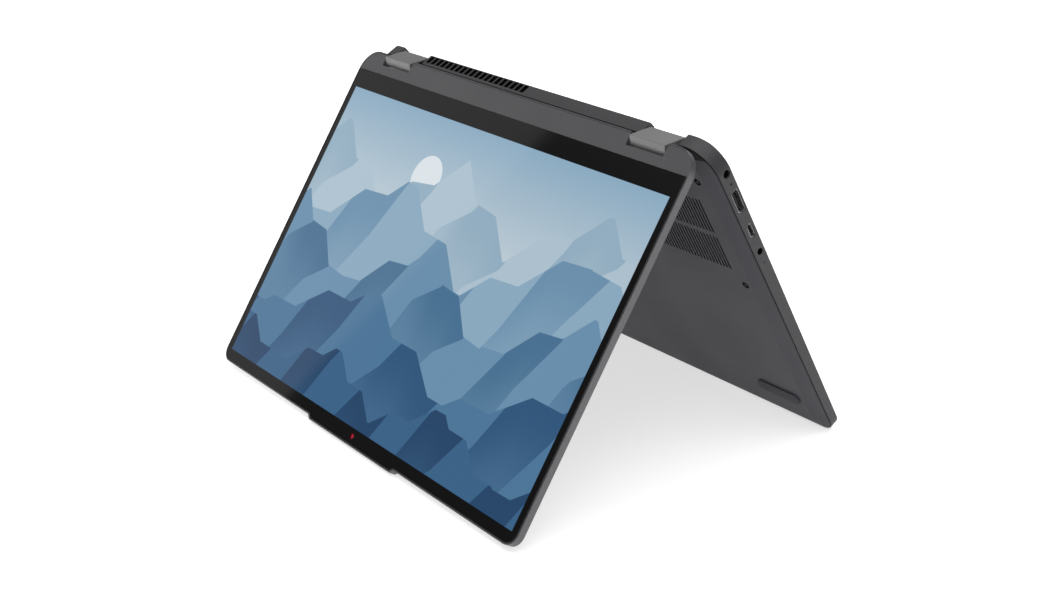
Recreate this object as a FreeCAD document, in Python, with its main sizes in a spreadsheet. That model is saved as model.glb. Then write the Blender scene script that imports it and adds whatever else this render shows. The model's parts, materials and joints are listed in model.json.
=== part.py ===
import FreeCAD, Part
import Sketcher
import math
import os
import re

# Convertible laptop standing as a tent: display half in front, keyboard half behind.
# Every piece is drawn in the frame of the half that carries it, then placed in the tent pose.
#   base frame: origin on the lower hinge axis, +y to the front edge, +z out of the keyboard deck
#   lid frame:  origin on the upper hinge axis, +y to the free edge, +z out of the lid back
#   link frame: origin on the lower hinge axis, +z to the upper hinge axis
# +x is the laptop's own left side in all three frames.

doc = FreeCAD.newDocument("ConvertibleLaptop")
sheet = doc.addObject("Spreadsheet::Sheet", "Sizes")

SIZES = [
    # keyboard half
    ("base_width", "313", "width over the side walls"),
    ("base_reach", "218.4", "lower hinge axis to front edge"),
    ("base_back", "2.8", "lower hinge axis to rear edge"),
    ("base_rear_depth", "11.9", "deck to underside at the rear edge"),
    ("base_front_depth", "8.6", "deck to underside at the front edge"),
    ("cover_height", "2.6", "seam to underside"),
    ("rear_radius", "18", "rear corner radius in plan"),
    ("front_radius", "8", "front corner radius in plan"),
    ("shell_wall", "1.2", "wall of the top case"),
    ("floor_wall", "1.0", "wall of the bottom cover"),
    ("seam_gap", "0.5", "open seam round the bottom cover"),
    ("edge_break", "0.5", "chamfer on the deck edge"),
    ("deck_slope_run", "3", "slope of the deck towards the rear edge"),
    ("deck_slope_drop", "0.8", "drop of that slope"),
    ("flank_side", "12", "sloping flank of the bottom cover, sides"),
    ("flank_front", "5", "sloping flank, front"),
    ("flank_rear", "6", "sloping flank, rear"),
    # display half
    ("lid_width", "313", "width of the lid"),
    ("lid_reach", "219.9", "upper hinge axis to free edge"),
    ("lid_back", "2.85", "upper hinge axis to hinge edge"),
    ("lid_thickness", "5.3", "display face to lid back"),
    ("screen_drop", "2.7", "upper hinge axis to display face"),
    ("lid_radius", "15", "lid corner radius at the hinge edge"),
    ("lip_width", "94", "camera lip on the free edge"),
    ("lip_height", "2.3", "lip beyond the free edge"),
    ("lip_slant", "3", "run of the lip's slanted ends"),
    ("rim_wall", "0.7", "lid wall seen round the glass"),
    ("back_wall", "0.9", "lid back sheet"),
    ("back_chamfer", "0.8", "chamfer round the lid back"),
    ("gasket_width", "0.5", "rubber rim round the glass"),
    ("gasket_proud", "0.2", "rubber rim above the glass"),
    ("glass_thickness", "0.9", "touch glass"),
    ("panel_thickness", "2.2", "display panel"),
    ("active_width", "301.6", "lit area, 14 inch 16:10 panel"),
    ("active_height", "188.5", "lit area, 14 inch 16:10 panel"),
    ("strip_depth", "13.9", "hinge strip, hinge edge to glass"),
    ("strip_thickness", "1.0", "hinge strip"),
    ("border_hinge", "12.5", "black border between strip and lit area"),
    # hinges
    ("hinge_offset", "119", "hinge centre from the middle"),
    ("hinge_width", "27.6", "hinge block along the axis"),
    ("hinge_side_gap", "1.0", "block to notch wall"),
    ("hinge_half", "3.0", "axis to the block's end faces"),
    ("hinge_rear_face", "3.1", "axis to the block's outer face"),
    ("hinge_wall", "1.0", "wall of the hinge cover"),
    ("notch_reach", "5.1", "axis to the bottom of each notch"),
    ("shaft_radius", "1.5", "hinge shafts"),
    ("shaft_play", "0.05", "radial play of the shafts in the link"),
    ("hinge_lean", "8", "lean of the link in degrees when closed"),
    ("closed_gap", "0.5", "deck to glass when closed"),
    ("folded_gap", "1.1", "underside to lid back when folded right round"),
    ("open_angle", "297.4", "lid opening in degrees in the tent"),
    # keyboard and touchpad
    ("key_pitch", "18", "key pitch along a row"),
    ("row_pitch", "18.2", "pitch of the rows"),
    ("function_pitch", "11.9", "depth of the function row"),
    ("key_gap", "2.6", "gap between keys"),
    ("key_play", "0.4", "key to its opening"),
    ("key_recess", "0.15", "key tops below the deck"),
    ("key_height", "2.2", "key cap height"),
    ("key_travel", "1.2", "key travel"),
    ("key_chamfer", "1.2", "key corner chamfer"),
    ("keys_rear", "25.3", "lower hinge axis to the key field"),
    ("frame_margin", "2.4", "keyboard frame beyond the key field"),
    ("frame_thickness", "1.2", "keyboard frame"),
    ("plate_thickness", "0.5", "keyboard plate"),
    ("pad_width", "105", "touchpad"),
    ("pad_depth", "66", "touchpad"),
    ("pad_front", "13.4", "touchpad to the front edge"),
    ("pad_thickness", "1.25", "touchpad"),
    ("pad_play", "0.35", "touchpad to its opening"),
    ("pad_travel", "0.6", "room under the touchpad"),
    ("bracket_floor", "0.6", "touchpad bracket sheet"),
    # inside
    ("board_depth", "6.4", "deck to the upper face of the boards"),
    ("board_thickness", "0.8", "boards"),
    ("port_depth", "3.9", "deck to the middle of the ports"),
    ("port_play", "0.15", "port shell to its opening"),
    ("battery_thickness", "4.2", "battery"),
    ("fan_side", "64", "fan housing"),
    ("fan_height", "4.8", "fan housing"),
    ("fan_x", "-62", "fan centre"),
    ("rotor_radius", "26", "fan rotor"),
    ("pipe_thickness", "1.6", "heat pipe"),
    ("fin_depth", "5.8", "heat sink fins, tall"),
    ("screw_x", "139.5", "cover screws from the middle"),
    ("boss_radius", "2.2", "screw bosses"),
    ("foot_height", "1.0", "rubber feet below the cover"),
    ("foot_inlay", "0.3", "rubber feet let into the cover"),
    # vents
    ("vent_pitch", "2.56", "intake slots"),
    ("vent_width", "1.4", "intake slots"),
    ("vent_length", "24.5", "intake slots"),
    ("vent_start", "56.2", "intake slots, first from the middle"),
    ("vent_end", "133", "intake slots, last from the middle"),
    ("exhaust_pitch", "5.1", "exhaust slots"),
    ("exhaust_width", "3.9", "exhaust slots"),
    ("exhaust_height", "5.8", "exhaust slots"),
]

DERIVED = [
    ("hinge_rise", "=(lid_thickness + base_rear_depth + closed_gap + folded_gap) / 2"),
    ("deck_height", "=hinge_rise - screen_drop - closed_gap"),
    ("hinge_pitch", "=hinge_rise / cos(hinge_lean * 1 deg)"),
    ("rear_seam", "=base_rear_depth - cover_height"),
    ("front_seam", "=base_front_depth - cover_height"),
    ("base_length", "=base_reach + base_back"),
    ("deck_under", "=deck_height - shell_wall"),
    ("notch_half", "=hinge_width / 2 + hinge_side_gap"),
    ("key_field", "=15 * key_pitch"),
    ("key_depth", "=function_pitch + 5 * row_pitch"),
    ("bracket_depth", "=0.15 + pad_thickness + pad_travel + bracket_floor - shell_wall"),
    ("plate_top", "=deck_height - key_recess - key_height - key_travel - 0.15"),
    ("pad_rear", "=base_reach - pad_front - pad_depth"),
    ("board_top", "=deck_height - board_depth"),
    ("board_under", "=board_top - board_thickness"),
    ("port_level", "=deck_height - port_depth"),
    ("pipe_top", "=board_under - 0.9"),
    ("glass_rear", "=strip_depth - lid_back + 0.1"),
    ("active_rear", "=strip_depth - lid_back + border_hinge"),
    ("lid_outside", "=lid_thickness - screen_drop"),
]


def fill_sheet():
    row = 1
    for alias, text, note in SIZES:
        sheet.set("A%d" % row, note)
        sheet.set("B%d" % row, text)
        sheet.setAlias("B%d" % row, alias)
        row += 1
    for alias, text in DERIVED:
        sheet.set("A%d" % row, "derived")
        sheet.set("B%d" % row, text)
        sheet.setAlias("B%d" % row, alias)
        row += 1
    doc.recompute()


fill_sheet()
ALIASES = [entry[0] for entry in SIZES] + [entry[0] for entry in DERIVED]
ALIAS_WORDS = re.compile(r"\b(" + "|".join(ALIASES) + r")\b")


def linked(text):
    """The expression with every size name pointed at the sheet."""
    return ALIAS_WORDS.sub(lambda found: "Sizes." + found.group(0), str(text))


def number(text):
    """The present value of an expression."""
    return float(sheet.evalExpression(str(text)))


bodies = {}
carrier = {}


def new_body(label, half):
    body = doc.addObject("PartDesign::Body", label)
    body.Label = label
    body.AllowCompound = True
    bodies[label] = body
    carrier[label] = half
    return body


def box(body, name, x, y, z, cut=False):
    """A box between the given limits, added or cut."""
    kind = "PartDesign::SubtractiveBox" if cut else "PartDesign::AdditiveBox"
    feature = body.newObject(kind, name)
    feature.Refine = False
    for size, axis, limits in (("Length", "x", x), ("Width", "y", y), ("Height", "z", z)):
        low, high = limits
        feature.setExpression(size, linked("(%s) - (%s)" % (high, low)))
        feature.setExpression("Placement.Base." + axis, linked(low))
    return feature


TURN = {
    "x": FreeCAD.Rotation(FreeCAD.Vector(0, 1, 0), 90),
    "y": FreeCAD.Rotation(FreeCAD.Vector(1, 0, 0), -90),
    "z": FreeCAD.Rotation(),
}


def rod(body, name, axis, start, radius, length, cut=False):
    """A cylinder from start along +axis."""
    kind = "PartDesign::SubtractiveCylinder" if cut else "PartDesign::AdditiveCylinder"
    feature = body.newObject(kind, name)
    feature.Refine = False
    feature.Placement = FreeCAD.Placement(FreeCAD.Vector(), TURN[axis])
    feature.setExpression("Radius", linked(radius))
    feature.setExpression("Height", linked(length))
    for letter, text in zip("xyz", start):
        feature.setExpression("Placement.Base." + letter, linked(text))
    return feature


def new_sketch(body, name, plane, level):
    sketch = body.newObject("Sketcher::SketchObject", name)
    support = [item for item in body.Origin.OriginFeatures if item.Role == plane + "_Plane"][0]
    sketch.AttachmentSupport = [(support, "")]
    sketch.MapMode = "FlatFace"
    sketch.setExpression("AttachmentOffset.Base.z", linked(level))
    return sketch


def pinned(value, letter, geometry, end):
    """The constraint that holds one coordinate of a sketch point."""
    if abs(value) < 1e-9:
        return Sketcher.Constraint("PointOnObject", geometry, end, -2 if letter == "X" else -1)
    return Sketcher.Constraint("Distance" + letter, -1, 1, geometry, end, value)


def pin_points(sketch, points):
    """Ties sketch points to expressions, all in one go."""
    constraints = []
    texts = []
    for geometry, end, first, second in points:
        for letter, text in (("X", first), ("Y", second)):
            if text is not None:
                constraints.append(pinned(number(text), letter, geometry, end))
                texts.append(text)
    start = sketch.ConstraintCount
    sketch.addConstraint(constraints)
    for offset, text in enumerate(texts):
        if constraints[offset].Type != "PointOnObject":
            sketch.setExpression("Constraints[%d]" % (start + offset), linked(text))


def polygons(body, name, plane, level, loops):
    """A sketch of closed loops through corners given as pairs of expressions."""
    sketch = new_sketch(body, name, plane, level)
    lines = []
    joints = []
    points = []
    for corners in loops:
        first = len(lines)
        count = len(corners)
        spots = [FreeCAD.Vector(number(a), number(b), 0) for a, b in corners]
        for index in range(count):
            follower = (index + 1) % count
            lines.append(Part.LineSegment(spots[index], spots[follower]))
            joints.append(Sketcher.Constraint("Coincident", first + index, 2, first + follower, 1))
            points.append((first + index, 1, corners[index][0], corners[index][1]))
    sketch.addGeometry(lines)
    sketch.addConstraint(joints)
    pin_points(sketch, points)
    return sketch


def polygon(body, name, plane, level, corners):
    return polygons(body, name, plane, level, [corners])


def rectangle(x, y):
    """Corners of a rectangle between limits."""
    return [(x[0], y[0]), (x[1], y[0]), (x[1], y[1]), (x[0], y[1])]


def circles(body, name, plane, level, spots, radius):
    """A sketch of equal circles at spots given as pairs of expressions."""
    sketch = new_sketch(body, name, plane, level)
    for first, second in spots:
        centre = FreeCAD.Vector(number(first), number(second), 0)
        sketch.addGeometry(Part.Circle(centre, FreeCAD.Vector(0, 0, 1), number(radius)))
    pin_points(sketch, [(index, 3, spot[0], spot[1]) for index, spot in enumerate(spots)])
    for index in range(len(spots)):
        radius_of(sketch, index, radius)
    return sketch


def radius_of(sketch, geometry, text):
    index = sketch.addConstraint(Sketcher.Constraint("Radius", geometry, number(text)))
    sketch.setExpression("Constraints[%d]" % index, linked(text))


def arc(centre_x, centre_y, radius, start, end):
    circle = Part.Circle(FreeCAD.Vector(centre_x, centre_y, 0), FreeCAD.Vector(0, 0, 1), radius)
    return Part.ArcOfCircle(circle, math.radians(start), math.radians(end))


def outline(body, name, plane, level, x, y, low_radius, high_radius):
    """A rectangle with one corner radius at low y and another at high y."""
    sketch = new_sketch(body, name, plane, level)
    x0, x1, y0, y1 = number(x[0]), number(x[1]), number(y[0]), number(y[1])
    low, high = number(low_radius), number(high_radius)
    point = FreeCAD.Vector
    sketch.addGeometry(Part.LineSegment(point(x0 + low, y0, 0), point(x1 - low, y0, 0)))
    sketch.addGeometry(arc(x1 - low, y0 + low, low, 270, 360))
    sketch.addGeometry(Part.LineSegment(point(x1, y0 + low, 0), point(x1, y1 - high, 0)))
    sketch.addGeometry(arc(x1 - high, y1 - high, high, 0, 90))
    sketch.addGeometry(Part.LineSegment(point(x1 - high, y1, 0), point(x0 + high, y1, 0)))
    sketch.addGeometry(arc(x0 + high, y1 - high, high, 90, 180))
    sketch.addGeometry(Part.LineSegment(point(x0, y1 - high, 0), point(x0, y0 + low, 0)))
    sketch.addGeometry(arc(x0 + low, y0 + low, low, 180, 270))
    rules = [Sketcher.Constraint("Tangent", index, 2, (index + 1) % 8, 1) for index in range(8)]
    rules += [Sketcher.Constraint("Horizontal", index) for index in (0, 4)]
    rules += [Sketcher.Constraint("Vertical", index) for index in (2, 6)]
    sketch.addConstraint(rules)
    pin_points(sketch, [(2, 1, x[1], None), (6, 1, x[0], None), (0, 1, None, y[0]), (4, 1, None, y[1])])
    radius_of(sketch, 1, low_radius)
    radius_of(sketch, 7, low_radius)
    radius_of(sketch, 3, high_radius)
    radius_of(sketch, 5, high_radius)
    return sketch


def pad(body, name, sketch, length):
    feature = body.newObject("PartDesign::Pad", name)
    feature.Profile = sketch
    feature.setExpression("Length", linked(length))
    return feature


def pocket(body, name, sketch, length, along_normal=True):
    feature = body.newObject("PartDesign::Pocket", name)
    feature.Refine = False
    feature.Profile = sketch
    feature.setExpression("Length", linked(length))
    feature.Reversed = along_normal
    return feature


def repeat(body, name, original, sketch, axis, count, span):
    feature = body.newObject("PartDesign::LinearPattern", name)
    feature.Refine = False
    feature.Originals = [original]
    feature.Direction = (sketch, [axis])
    feature.setExpression("Length", linked(span))
    feature.Occurrences = count
    body.Tip = feature
    return feature


def dress(body, kind, name, size, test):
    """A fillet or chamfer on the edges of the tip that pass the test."""
    tip = body.Tip
    doc.recompute([tip])
    names = ["Edge%d" % (index + 1) for index, edge in enumerate(tip.Shape.Edges) if test(edge)]
    if not names:
        raise RuntimeError("no edges for " + name)
    feature = body.newObject("PartDesign::" + kind, name)
    feature.Base = (tip, names)
    feature.setExpression("Radius" if kind == "Fillet" else "Size", linked(size))
    return feature


def is_along(edge, axis):
    """True for a straight edge along x, y or z."""
    if not isinstance(edge.Curve, Part.Line):
        return False
    return abs(getattr(edge.Curve.Direction, axis)) > 0.999


def lies_at(edge, axis, value):
    limits = edge.BoundBox
    low = getattr(limits, axis.upper() + "Min")
    high = getattr(limits, axis.upper() + "Max")
    return abs(low - value) < 1e-4 and abs(high - value) < 1e-4


def sided(side, low, high):
    """Limits along x on the given side of the middle."""
    if side > 0:
        return (low, high)
    return ("-(%s)" % high, "-(%s)" % low)


SIDES = (("left", 1), ("right", -1))
LEFT_PORTS = {"dc": "15.7", "light": "22.8", "hdmi": "34.8", "usb_c": "56", "audio": "71.4"}
RESET_Y = "79.5"
USB_A_Y = ("58", "76")
CARD_Y = "36"
POWER_Y = "92"
SCREW_Y = ("20", "98")
# Sockets: width, height, and corner radii on the seam side and the deck side.
HDMI = ("14.6", "5.0", ("1.9", "0.9"))
USB_C = ("9.0", "3.3", ("1.6", "1.6"))
USB_A = ("13.1", "4.9", ("0.6", "0.6"))
CARD = ("25.4", "3.4", ("0.6", "0.6"))
SPEAKER_Y = ("104", "152")


def screw_spots():
    return [("%d * screw_x" % side, y) for name, side in SIDES for y in SCREW_Y]


KEY_ROWS = {
    "keys_function_row": (0, 0.0, [1] * 15),
    "keys_number_row": (1, 0.0, [1] * 13 + [2]),
    "keys_upper_row": (2, 0.0, [1.5] + [1] * 12 + [1.5]),
    "keys_home_row": (3, 0.0, [1.75] + [1] * 11 + [2.25]),
    "keys_lower_row": (4, 0.0, [2.25] + [1] * 10 + [2.75]),
    "keys_bottom_row": (5, 0.0, [1.25, 1, 1, 1.25, None, 1, 1.25]),
    "space_bar": (5, 4.5, [5.25]),
}
SPACE_UNITS = 5.25
ARROW_START = 12.0


def row_limits(row):
    if row == 0:
        return ("keys_rear", "keys_rear + function_pitch")
    low = "keys_rear + function_pitch + %d * row_pitch" % (row - 1)
    return (low, low + " + row_pitch")


def key_cells():
    """Cell of every key as limits along x and y, by node."""
    cells = {}
    for label, (row, start, widths) in KEY_ROWS.items():
        low, high = row_limits(row)
        place = start
        cells[label] = []
        for width in widths:
            if width is None:
                place += SPACE_UNITS
                continue
            right = "key_field / 2 - %s * key_pitch" % (place + width)
            left = "key_field / 2 - %s * key_pitch" % place
            cells[label].append(((right, left), (low, high)))
            place += width
    cells["arrow_keys"] = arrow_cells()
    return cells


def arrow_cells():
    low, high = row_limits(5)
    middle = low + " + row_pitch / 2"
    column = []
    for index in range(3):
        right = "key_field / 2 - %s * key_pitch" % (ARROW_START + index + 1)
        left = "key_field / 2 - %s * key_pitch" % (ARROW_START + index)
        column.append((right, left))
    upper = (low, middle + " + key_gap / 2 - 0.4")
    lower = (middle + " - key_gap / 2 + 0.4", high)
    return [
        (column[0], lower),
        (column[1], upper),
        (column[1], lower),
        (column[2], lower),
    ]


def shrunk(limits, amount):
    low, high = limits
    return ("%s + %s" % (low, amount), "%s - (%s)" % (high, amount))


def add_keys():
    for label, cells in key_cells().items():
        body = new_body(label, "base")
        loops = [rectangle(shrunk(x, "key_gap / 2"), shrunk(y, "key_gap / 2")) for x, y in cells]
        caps = polygons(body, "Caps", "XY", "deck_height - key_recess - key_height", loops)
        pad(body, "Keys", caps, "key_height")
        dress(body, "Chamfer", "KeyCorners", "key_chamfer", lambda edge: is_along(edge, "z"))


def add_keyboard_frame():
    body = new_body("keyboard_frame", "base")
    half = "key_field / 2 + frame_margin"
    x = ("-(%s)" % half, half)
    y = ("keys_rear - frame_margin", "keys_rear + key_depth + frame_margin")
    box(body, "Frame", x, y, ("plate_top", "deck_under"))
    box(body, "FrameHollow", shrunk(x, "1.4"), shrunk(y, "1.4"),
        ("plate_top - 1", "deck_under - frame_thickness"), cut=True)
    room = "key_gap / 2 - key_play"
    for label, cells in key_cells().items():
        loops = [rectangle(shrunk(place_x, room), shrunk(place_y, room)) for place_x, place_y in cells]
        holes = polygons(body, "Holes_" + label, "XY", "deck_under - frame_thickness - 0.3", loops)
        pocket(body, "Openings_" + label, holes, "frame_thickness + 1")
    plate = new_body("keyboard_plate", "base")
    box(plate, "Plate", x, y, ("plate_top - plate_thickness", "plate_top"))


def add_top_case():
    body = new_body("top_case", "base")
    half = "base_width / 2"
    shell = outline(body, "ShellOutline", "XY", "deck_height - rear_seam",
                    ("-" + half, half), ("-base_back", "base_reach"), "rear_radius", "front_radius")
    pad(body, "Shell", shell, "rear_seam")
    deck = number("deck_height")
    dress(body, "Chamfer", "DeckEdge", "edge_break", lambda edge: lies_at(edge, "z", deck))
    inside = outline(body, "InsideOutline", "XY", "deck_height - rear_seam - 1",
                     ("-%s + shell_wall" % half, half + " - shell_wall"),
                     ("-base_back + shell_wall", "base_reach - shell_wall"),
                     "rear_radius - shell_wall", "front_radius - shell_wall")
    pocket(body, "Inside", inside, "rear_seam - shell_wall + 1")
    add_bosses(body)
    add_hinge_housings(body)
    seam = polygon(body, "SeamCut", "YZ", "-base_width", [
        ("-base_back - 5", "deck_height - rear_seam - (rear_seam - front_seam) * 5 / base_length"),
        ("base_reach + 5", "deck_height - front_seam + (rear_seam - front_seam) * 5 / base_length"),
        ("base_reach + 5", "deck_height - base_rear_depth - 5"),
        ("-base_back - 5", "deck_height - base_rear_depth - 5"),
    ])
    pocket(body, "Wedge", seam, "2 * base_width")
    slope = polygon(body, "DeckSlope", "YZ", "-base_width", [
        ("-base_back - 3", "deck_height - deck_slope_drop * (1 + 3 / deck_slope_run)"),
        ("-base_back + deck_slope_run", "deck_height"),
        ("-base_back + deck_slope_run", "deck_height + 3"),
        ("-base_back - 3", "deck_height + 3"),
    ])
    pocket(body, "RearSlope", slope, "2 * base_width")
    cut_deck_openings(body)
    cut_wall_openings(body)
    cut_exhaust(body)
    return body


def add_bosses(body):
    bosses = circles(body, "Bosses", "XY", "deck_height - rear_seam - 1", screw_spots(), "boss_radius")
    pad(body, "BossPosts", bosses, "rear_seam + 1 - shell_wall / 2")
    holes = circles(body, "BossHoles", "XY", "deck_height - rear_seam - 2", screw_spots(), "1.0")
    pocket(body, "BossBores", holes, "rear_seam - shell_wall + 1.2")


def add_hinge_housings(body):
    """Walls round the hinge notches, then the notches and the shaft holes."""
    for name, side in SIDES:
        box(body, "HingeHousing", sided(side, "hinge_offset - notch_half - shell_wall",
                                        "hinge_offset + notch_half + shell_wall"),
            ("-base_back + shell_wall / 2", "notch_reach + shell_wall"),
            ("deck_height - rear_seam - 1", "deck_height - shell_wall / 2"))
        box(body, "HingeNotch", sided(side, "hinge_offset - notch_half", "hinge_offset + notch_half"),
            ("-base_back - 5", "notch_reach"),
            ("deck_height - rear_seam - 5", "deck_height + 5"), cut=True)
        low = sided(side, "hinge_offset - notch_half - shell_wall - 1", "hinge_offset")[0]
        rod(body, "ShaftHole", "x", (low, "0", "0"), "shaft_radius + 0.2",
            "notch_half + shell_wall + 1", cut=True)


def cut_deck_openings(body):
    z = ("deck_under - 1", "deck_height + 1")
    lip = "frame_margin - 1.4"
    half = "key_field / 2 + %s" % lip
    box(body, "KeyboardOpening", ("-(%s)" % half, half),
        ("keys_rear - (%s)" % lip, "keys_rear + key_depth + %s" % lip), z, cut=True)
    half = "pad_width / 2 + pad_play"
    box(body, "TouchpadOpening", ("-(%s)" % half, half),
        ("pad_rear - pad_play", "pad_rear + pad_depth + pad_play"), z, cut=True)
    for name, side in SIDES:
        low, high = sided(side, "base_width / 2 - 13.5", "base_width / 2 - 6")
        slot = polygon(body, "SpeakerSlot", "XY", "deck_under - 1", [
            (low, SPEAKER_Y[0] + " + 2"),
            (high, SPEAKER_Y[0] + " + 2"),
            (high, SPEAKER_Y[0] + " + 3"),
            (low, SPEAKER_Y[0] + " + 3"),
        ])
        first = pocket(body, "SpeakerSlotCut", slot, "shell_wall + 2")
        span = "%s - %s - 5" % (SPEAKER_Y[1], SPEAKER_Y[0])
        repeat(body, "SpeakerGrille", first, slot, "V_Axis", 18, span)


def wall_opening(body, name, side, y, width, height, radii, play="port_play"):
    """An opening with rounded corners, lower and upper, through a side wall at the level of the ports."""
    half = "%s / 2 + %s" % (width, play)
    tall = "%s / 2 + %s" % (height, play)
    low, high = sided(side, "base_width / 2 - 2", "base_width / 2 + 1")
    shape = outline(body, name, "YZ", low, ("%s - (%s)" % (y, half), "%s + %s" % (y, half)),
                    ("port_level - (%s)" % tall, "port_level + %s" % tall), *radii)
    pocket(body, name + "Cut", shape, "3")


def cut_wall_openings(body):
    inner = "base_width / 2 - 2"
    rod(body, "DcOpening", "x", (inner, LEFT_PORTS["dc"], "port_level"), "2.35", "4", cut=True)
    rod(body, "LightOpening", "x", (inner, LEFT_PORTS["light"], "port_level"), "0.7", "4", cut=True)
    rod(body, "AudioOpening", "x", (inner, LEFT_PORTS["audio"], "port_level"), "2.0", "4", cut=True)
    rod(body, "ResetOpening", "x", (inner, RESET_Y, "port_level"), "0.45", "4", cut=True)
    wall_opening(body, "HdmiOpening", 1, LEFT_PORTS["hdmi"], *HDMI)
    wall_opening(body, "UsbCOpening", 1, LEFT_PORTS["usb_c"], *USB_C)
    for y in USB_A_Y:
        wall_opening(body, "UsbAOpening", -1, y, *USB_A)
    wall_opening(body, "CardOpening", -1, CARD_Y, *CARD)
    wall_opening(body, "PowerOpening", -1, POWER_Y, "12", "3", ("1.5", "1.5"), "0.3")


def cut_exhaust(body):
    """Row of exhaust slots through the rear wall, from the right hinge to the middle."""
    start = "-hinge_offset + notch_half + shell_wall + 0.6"
    level = "deck_height - 4.4"
    slot = polygon(body, "ExhaustSlot", "XZ", "base_back - shell_wall - 1", [
        (start, level + " - exhaust_height / 2"),
        (start + " + exhaust_width", level + " - exhaust_height / 2"),
        (start + " + exhaust_width", level + " + exhaust_height / 2"),
        (start, level + " + exhaust_height / 2"),
    ])
    first = pocket(body, "ExhaustCut", slot, "shell_wall + 3")
    repeat(body, "Exhaust", first, slot, "H_Axis", 20, "19 * exhaust_pitch")


def add_bottom_cover():
    """Shallow tray, drawn flat with its rim at z = 0 on the seam."""
    body = new_body("bottom_cover", "cover")
    half = "base_width / 2"
    rim = outline(body, "RimOutline", "XY", "-seam_gap", ("-%s + 0.3" % half, half + " - 0.3"),
                  ("0.3", "base_length - 0.3"), "rear_radius", "front_radius")
    floor = outline(body, "FloorOutline", "XY", "-cover_height",
                    ("-%s + flank_side" % half, half + " - flank_side"),
                    ("flank_rear", "base_length - flank_front"), "rear_radius - 5", "front_radius - 2")
    loft(body, "Tray", "PartDesign::AdditiveLoft", rim, floor)
    rim_in = outline(body, "RimInside", "XY", "-seam_gap + 0.01",
                     ("-%s + 0.3 + shell_wall" % half, half + " - 0.3 - shell_wall"),
                     ("0.3 + shell_wall", "base_length - 0.3 - shell_wall"),
                     "rear_radius - shell_wall", "front_radius - shell_wall")
    floor_in = outline(body, "FloorInside", "XY", "-cover_height + floor_wall",
                       ("-%s + flank_side + 0.5" % half, half + " - flank_side - 0.5"),
                       ("flank_rear + 0.5", "base_length - flank_front - 0.5"),
                       "rear_radius - 5.5", "front_radius - 2.5")
    loft(body, "TrayInside", "PartDesign::SubtractiveLoft", rim_in, floor_in)
    for name, side in SIDES:
        housing = sided(side, "hinge_offset - notch_half - shell_wall",
                        "hinge_offset + notch_half + shell_wall")
        box(body, "NotchWall", housing, ("3", "base_back + notch_reach + shell_wall"),
            ("-cover_height + floor_wall / 2", "-seam_gap"))
        box(body, "HingeNotch", sided(side, "hinge_offset - notch_half", "hinge_offset + notch_half"),
            ("-5", "base_back + notch_reach"), ("-cover_height - 5", "5"), cut=True)
    for x, y in screw_spots():
        rod(body, "ScrewHole", "z", (x, y + " + base_back", "-cover_height - 1"), "1.0",
            "floor_wall + 2", cut=True)
        rod(body, "ScrewSink", "z", (x, y + " + base_back", "-cover_height - 1"), "2.3",
            "1 + floor_wall / 2", cut=True)
    for x in ("-90", "0", "90"):
        box(body, "FrontClip", (x + " - 6", x + " + 6"), ("base_length - 4.4", "base_length - 2.3"),
            ("-cover_height + floor_wall + 0.2", "1.8"))
    cut_foot_beds(body)
    cut_intake(body)


def loft(body, name, kind, first, last):
    feature = body.newObject(kind, name)
    feature.Profile = first
    feature.Sections = [last]
    feature.Ruled = True
    feature.Refine = False
    return feature


VENT_ROWS = ("34.9 + base_back", "62.9 + base_back")


def cut_intake(body):
    """Two fields of slots, each of two rows, towards the sides of the cover."""
    count = int((number("vent_end") - number("vent_start")) / number("vent_pitch")) + 1
    for name, side in SIDES:
        first = ("vent_start" if side > 0 else "-vent_end")
        x = (first + " - vent_width / 2", first + " + vent_width / 2")
        rows = [rectangle(x, (row, row + " + vent_length")) for row in VENT_ROWS]
        slots = polygons(body, "IntakeSlots", "XY", "-cover_height - 1", rows)
        cut = pocket(body, "IntakeCut", slots, "floor_wall + 1.5")
        repeat(body, "Intake", cut, slots, "H_Axis", count, "%d * vent_pitch" % (count - 1))


REAR_FOOT = (("-105", "105"), ("15 + base_back", "22 + base_back"))
FRONT_FEET_X = ("106", "140")
FRONT_FEET_Y = ("192 + base_back", "200 + base_back")


def foot_outline(body, name, level, x, y):
    radius = "(%s - (%s)) / 2 - 0.01" % (y[1], y[0])
    return outline(body, name, "XY", level, x, y, radius, radius)


def cut_foot_beds(body):
    spots = [REAR_FOOT] + [(sided(side, *FRONT_FEET_X), FRONT_FEET_Y) for name, side in SIDES]
    for x, y in spots:
        bed = foot_outline(body, "FootBed", "-cover_height - 1", x, y)
        pocket(body, "FootBedCut", bed, "1 + foot_inlay")


def add_feet():
    rear = new_body("rear_foot", "cover")
    sole = foot_outline(rear, "Sole", "-cover_height - foot_height", *REAR_FOOT)
    pad(rear, "Foot", sole, "foot_height + foot_inlay")
    front = new_body("front_feet", "cover")
    for name, side in SIDES:
        sole = foot_outline(front, "Sole", "-cover_height - foot_height",
                            sided(side, *FRONT_FEET_X), FRONT_FEET_Y)
        pad(front, "Foot", sole, "foot_height + foot_inlay")
    screws = new_body("bottom_screws", "cover")
    for x, y in screw_spots():
        spot = y + " + base_back"
        rod(screws, "Head", "z", (x, spot, "-cover_height"), "2.2", "floor_wall / 2")
        rod(screws, "Shank", "z", (x, spot, "-cover_height"), "0.8", "floor_wall + 4.5")


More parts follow.
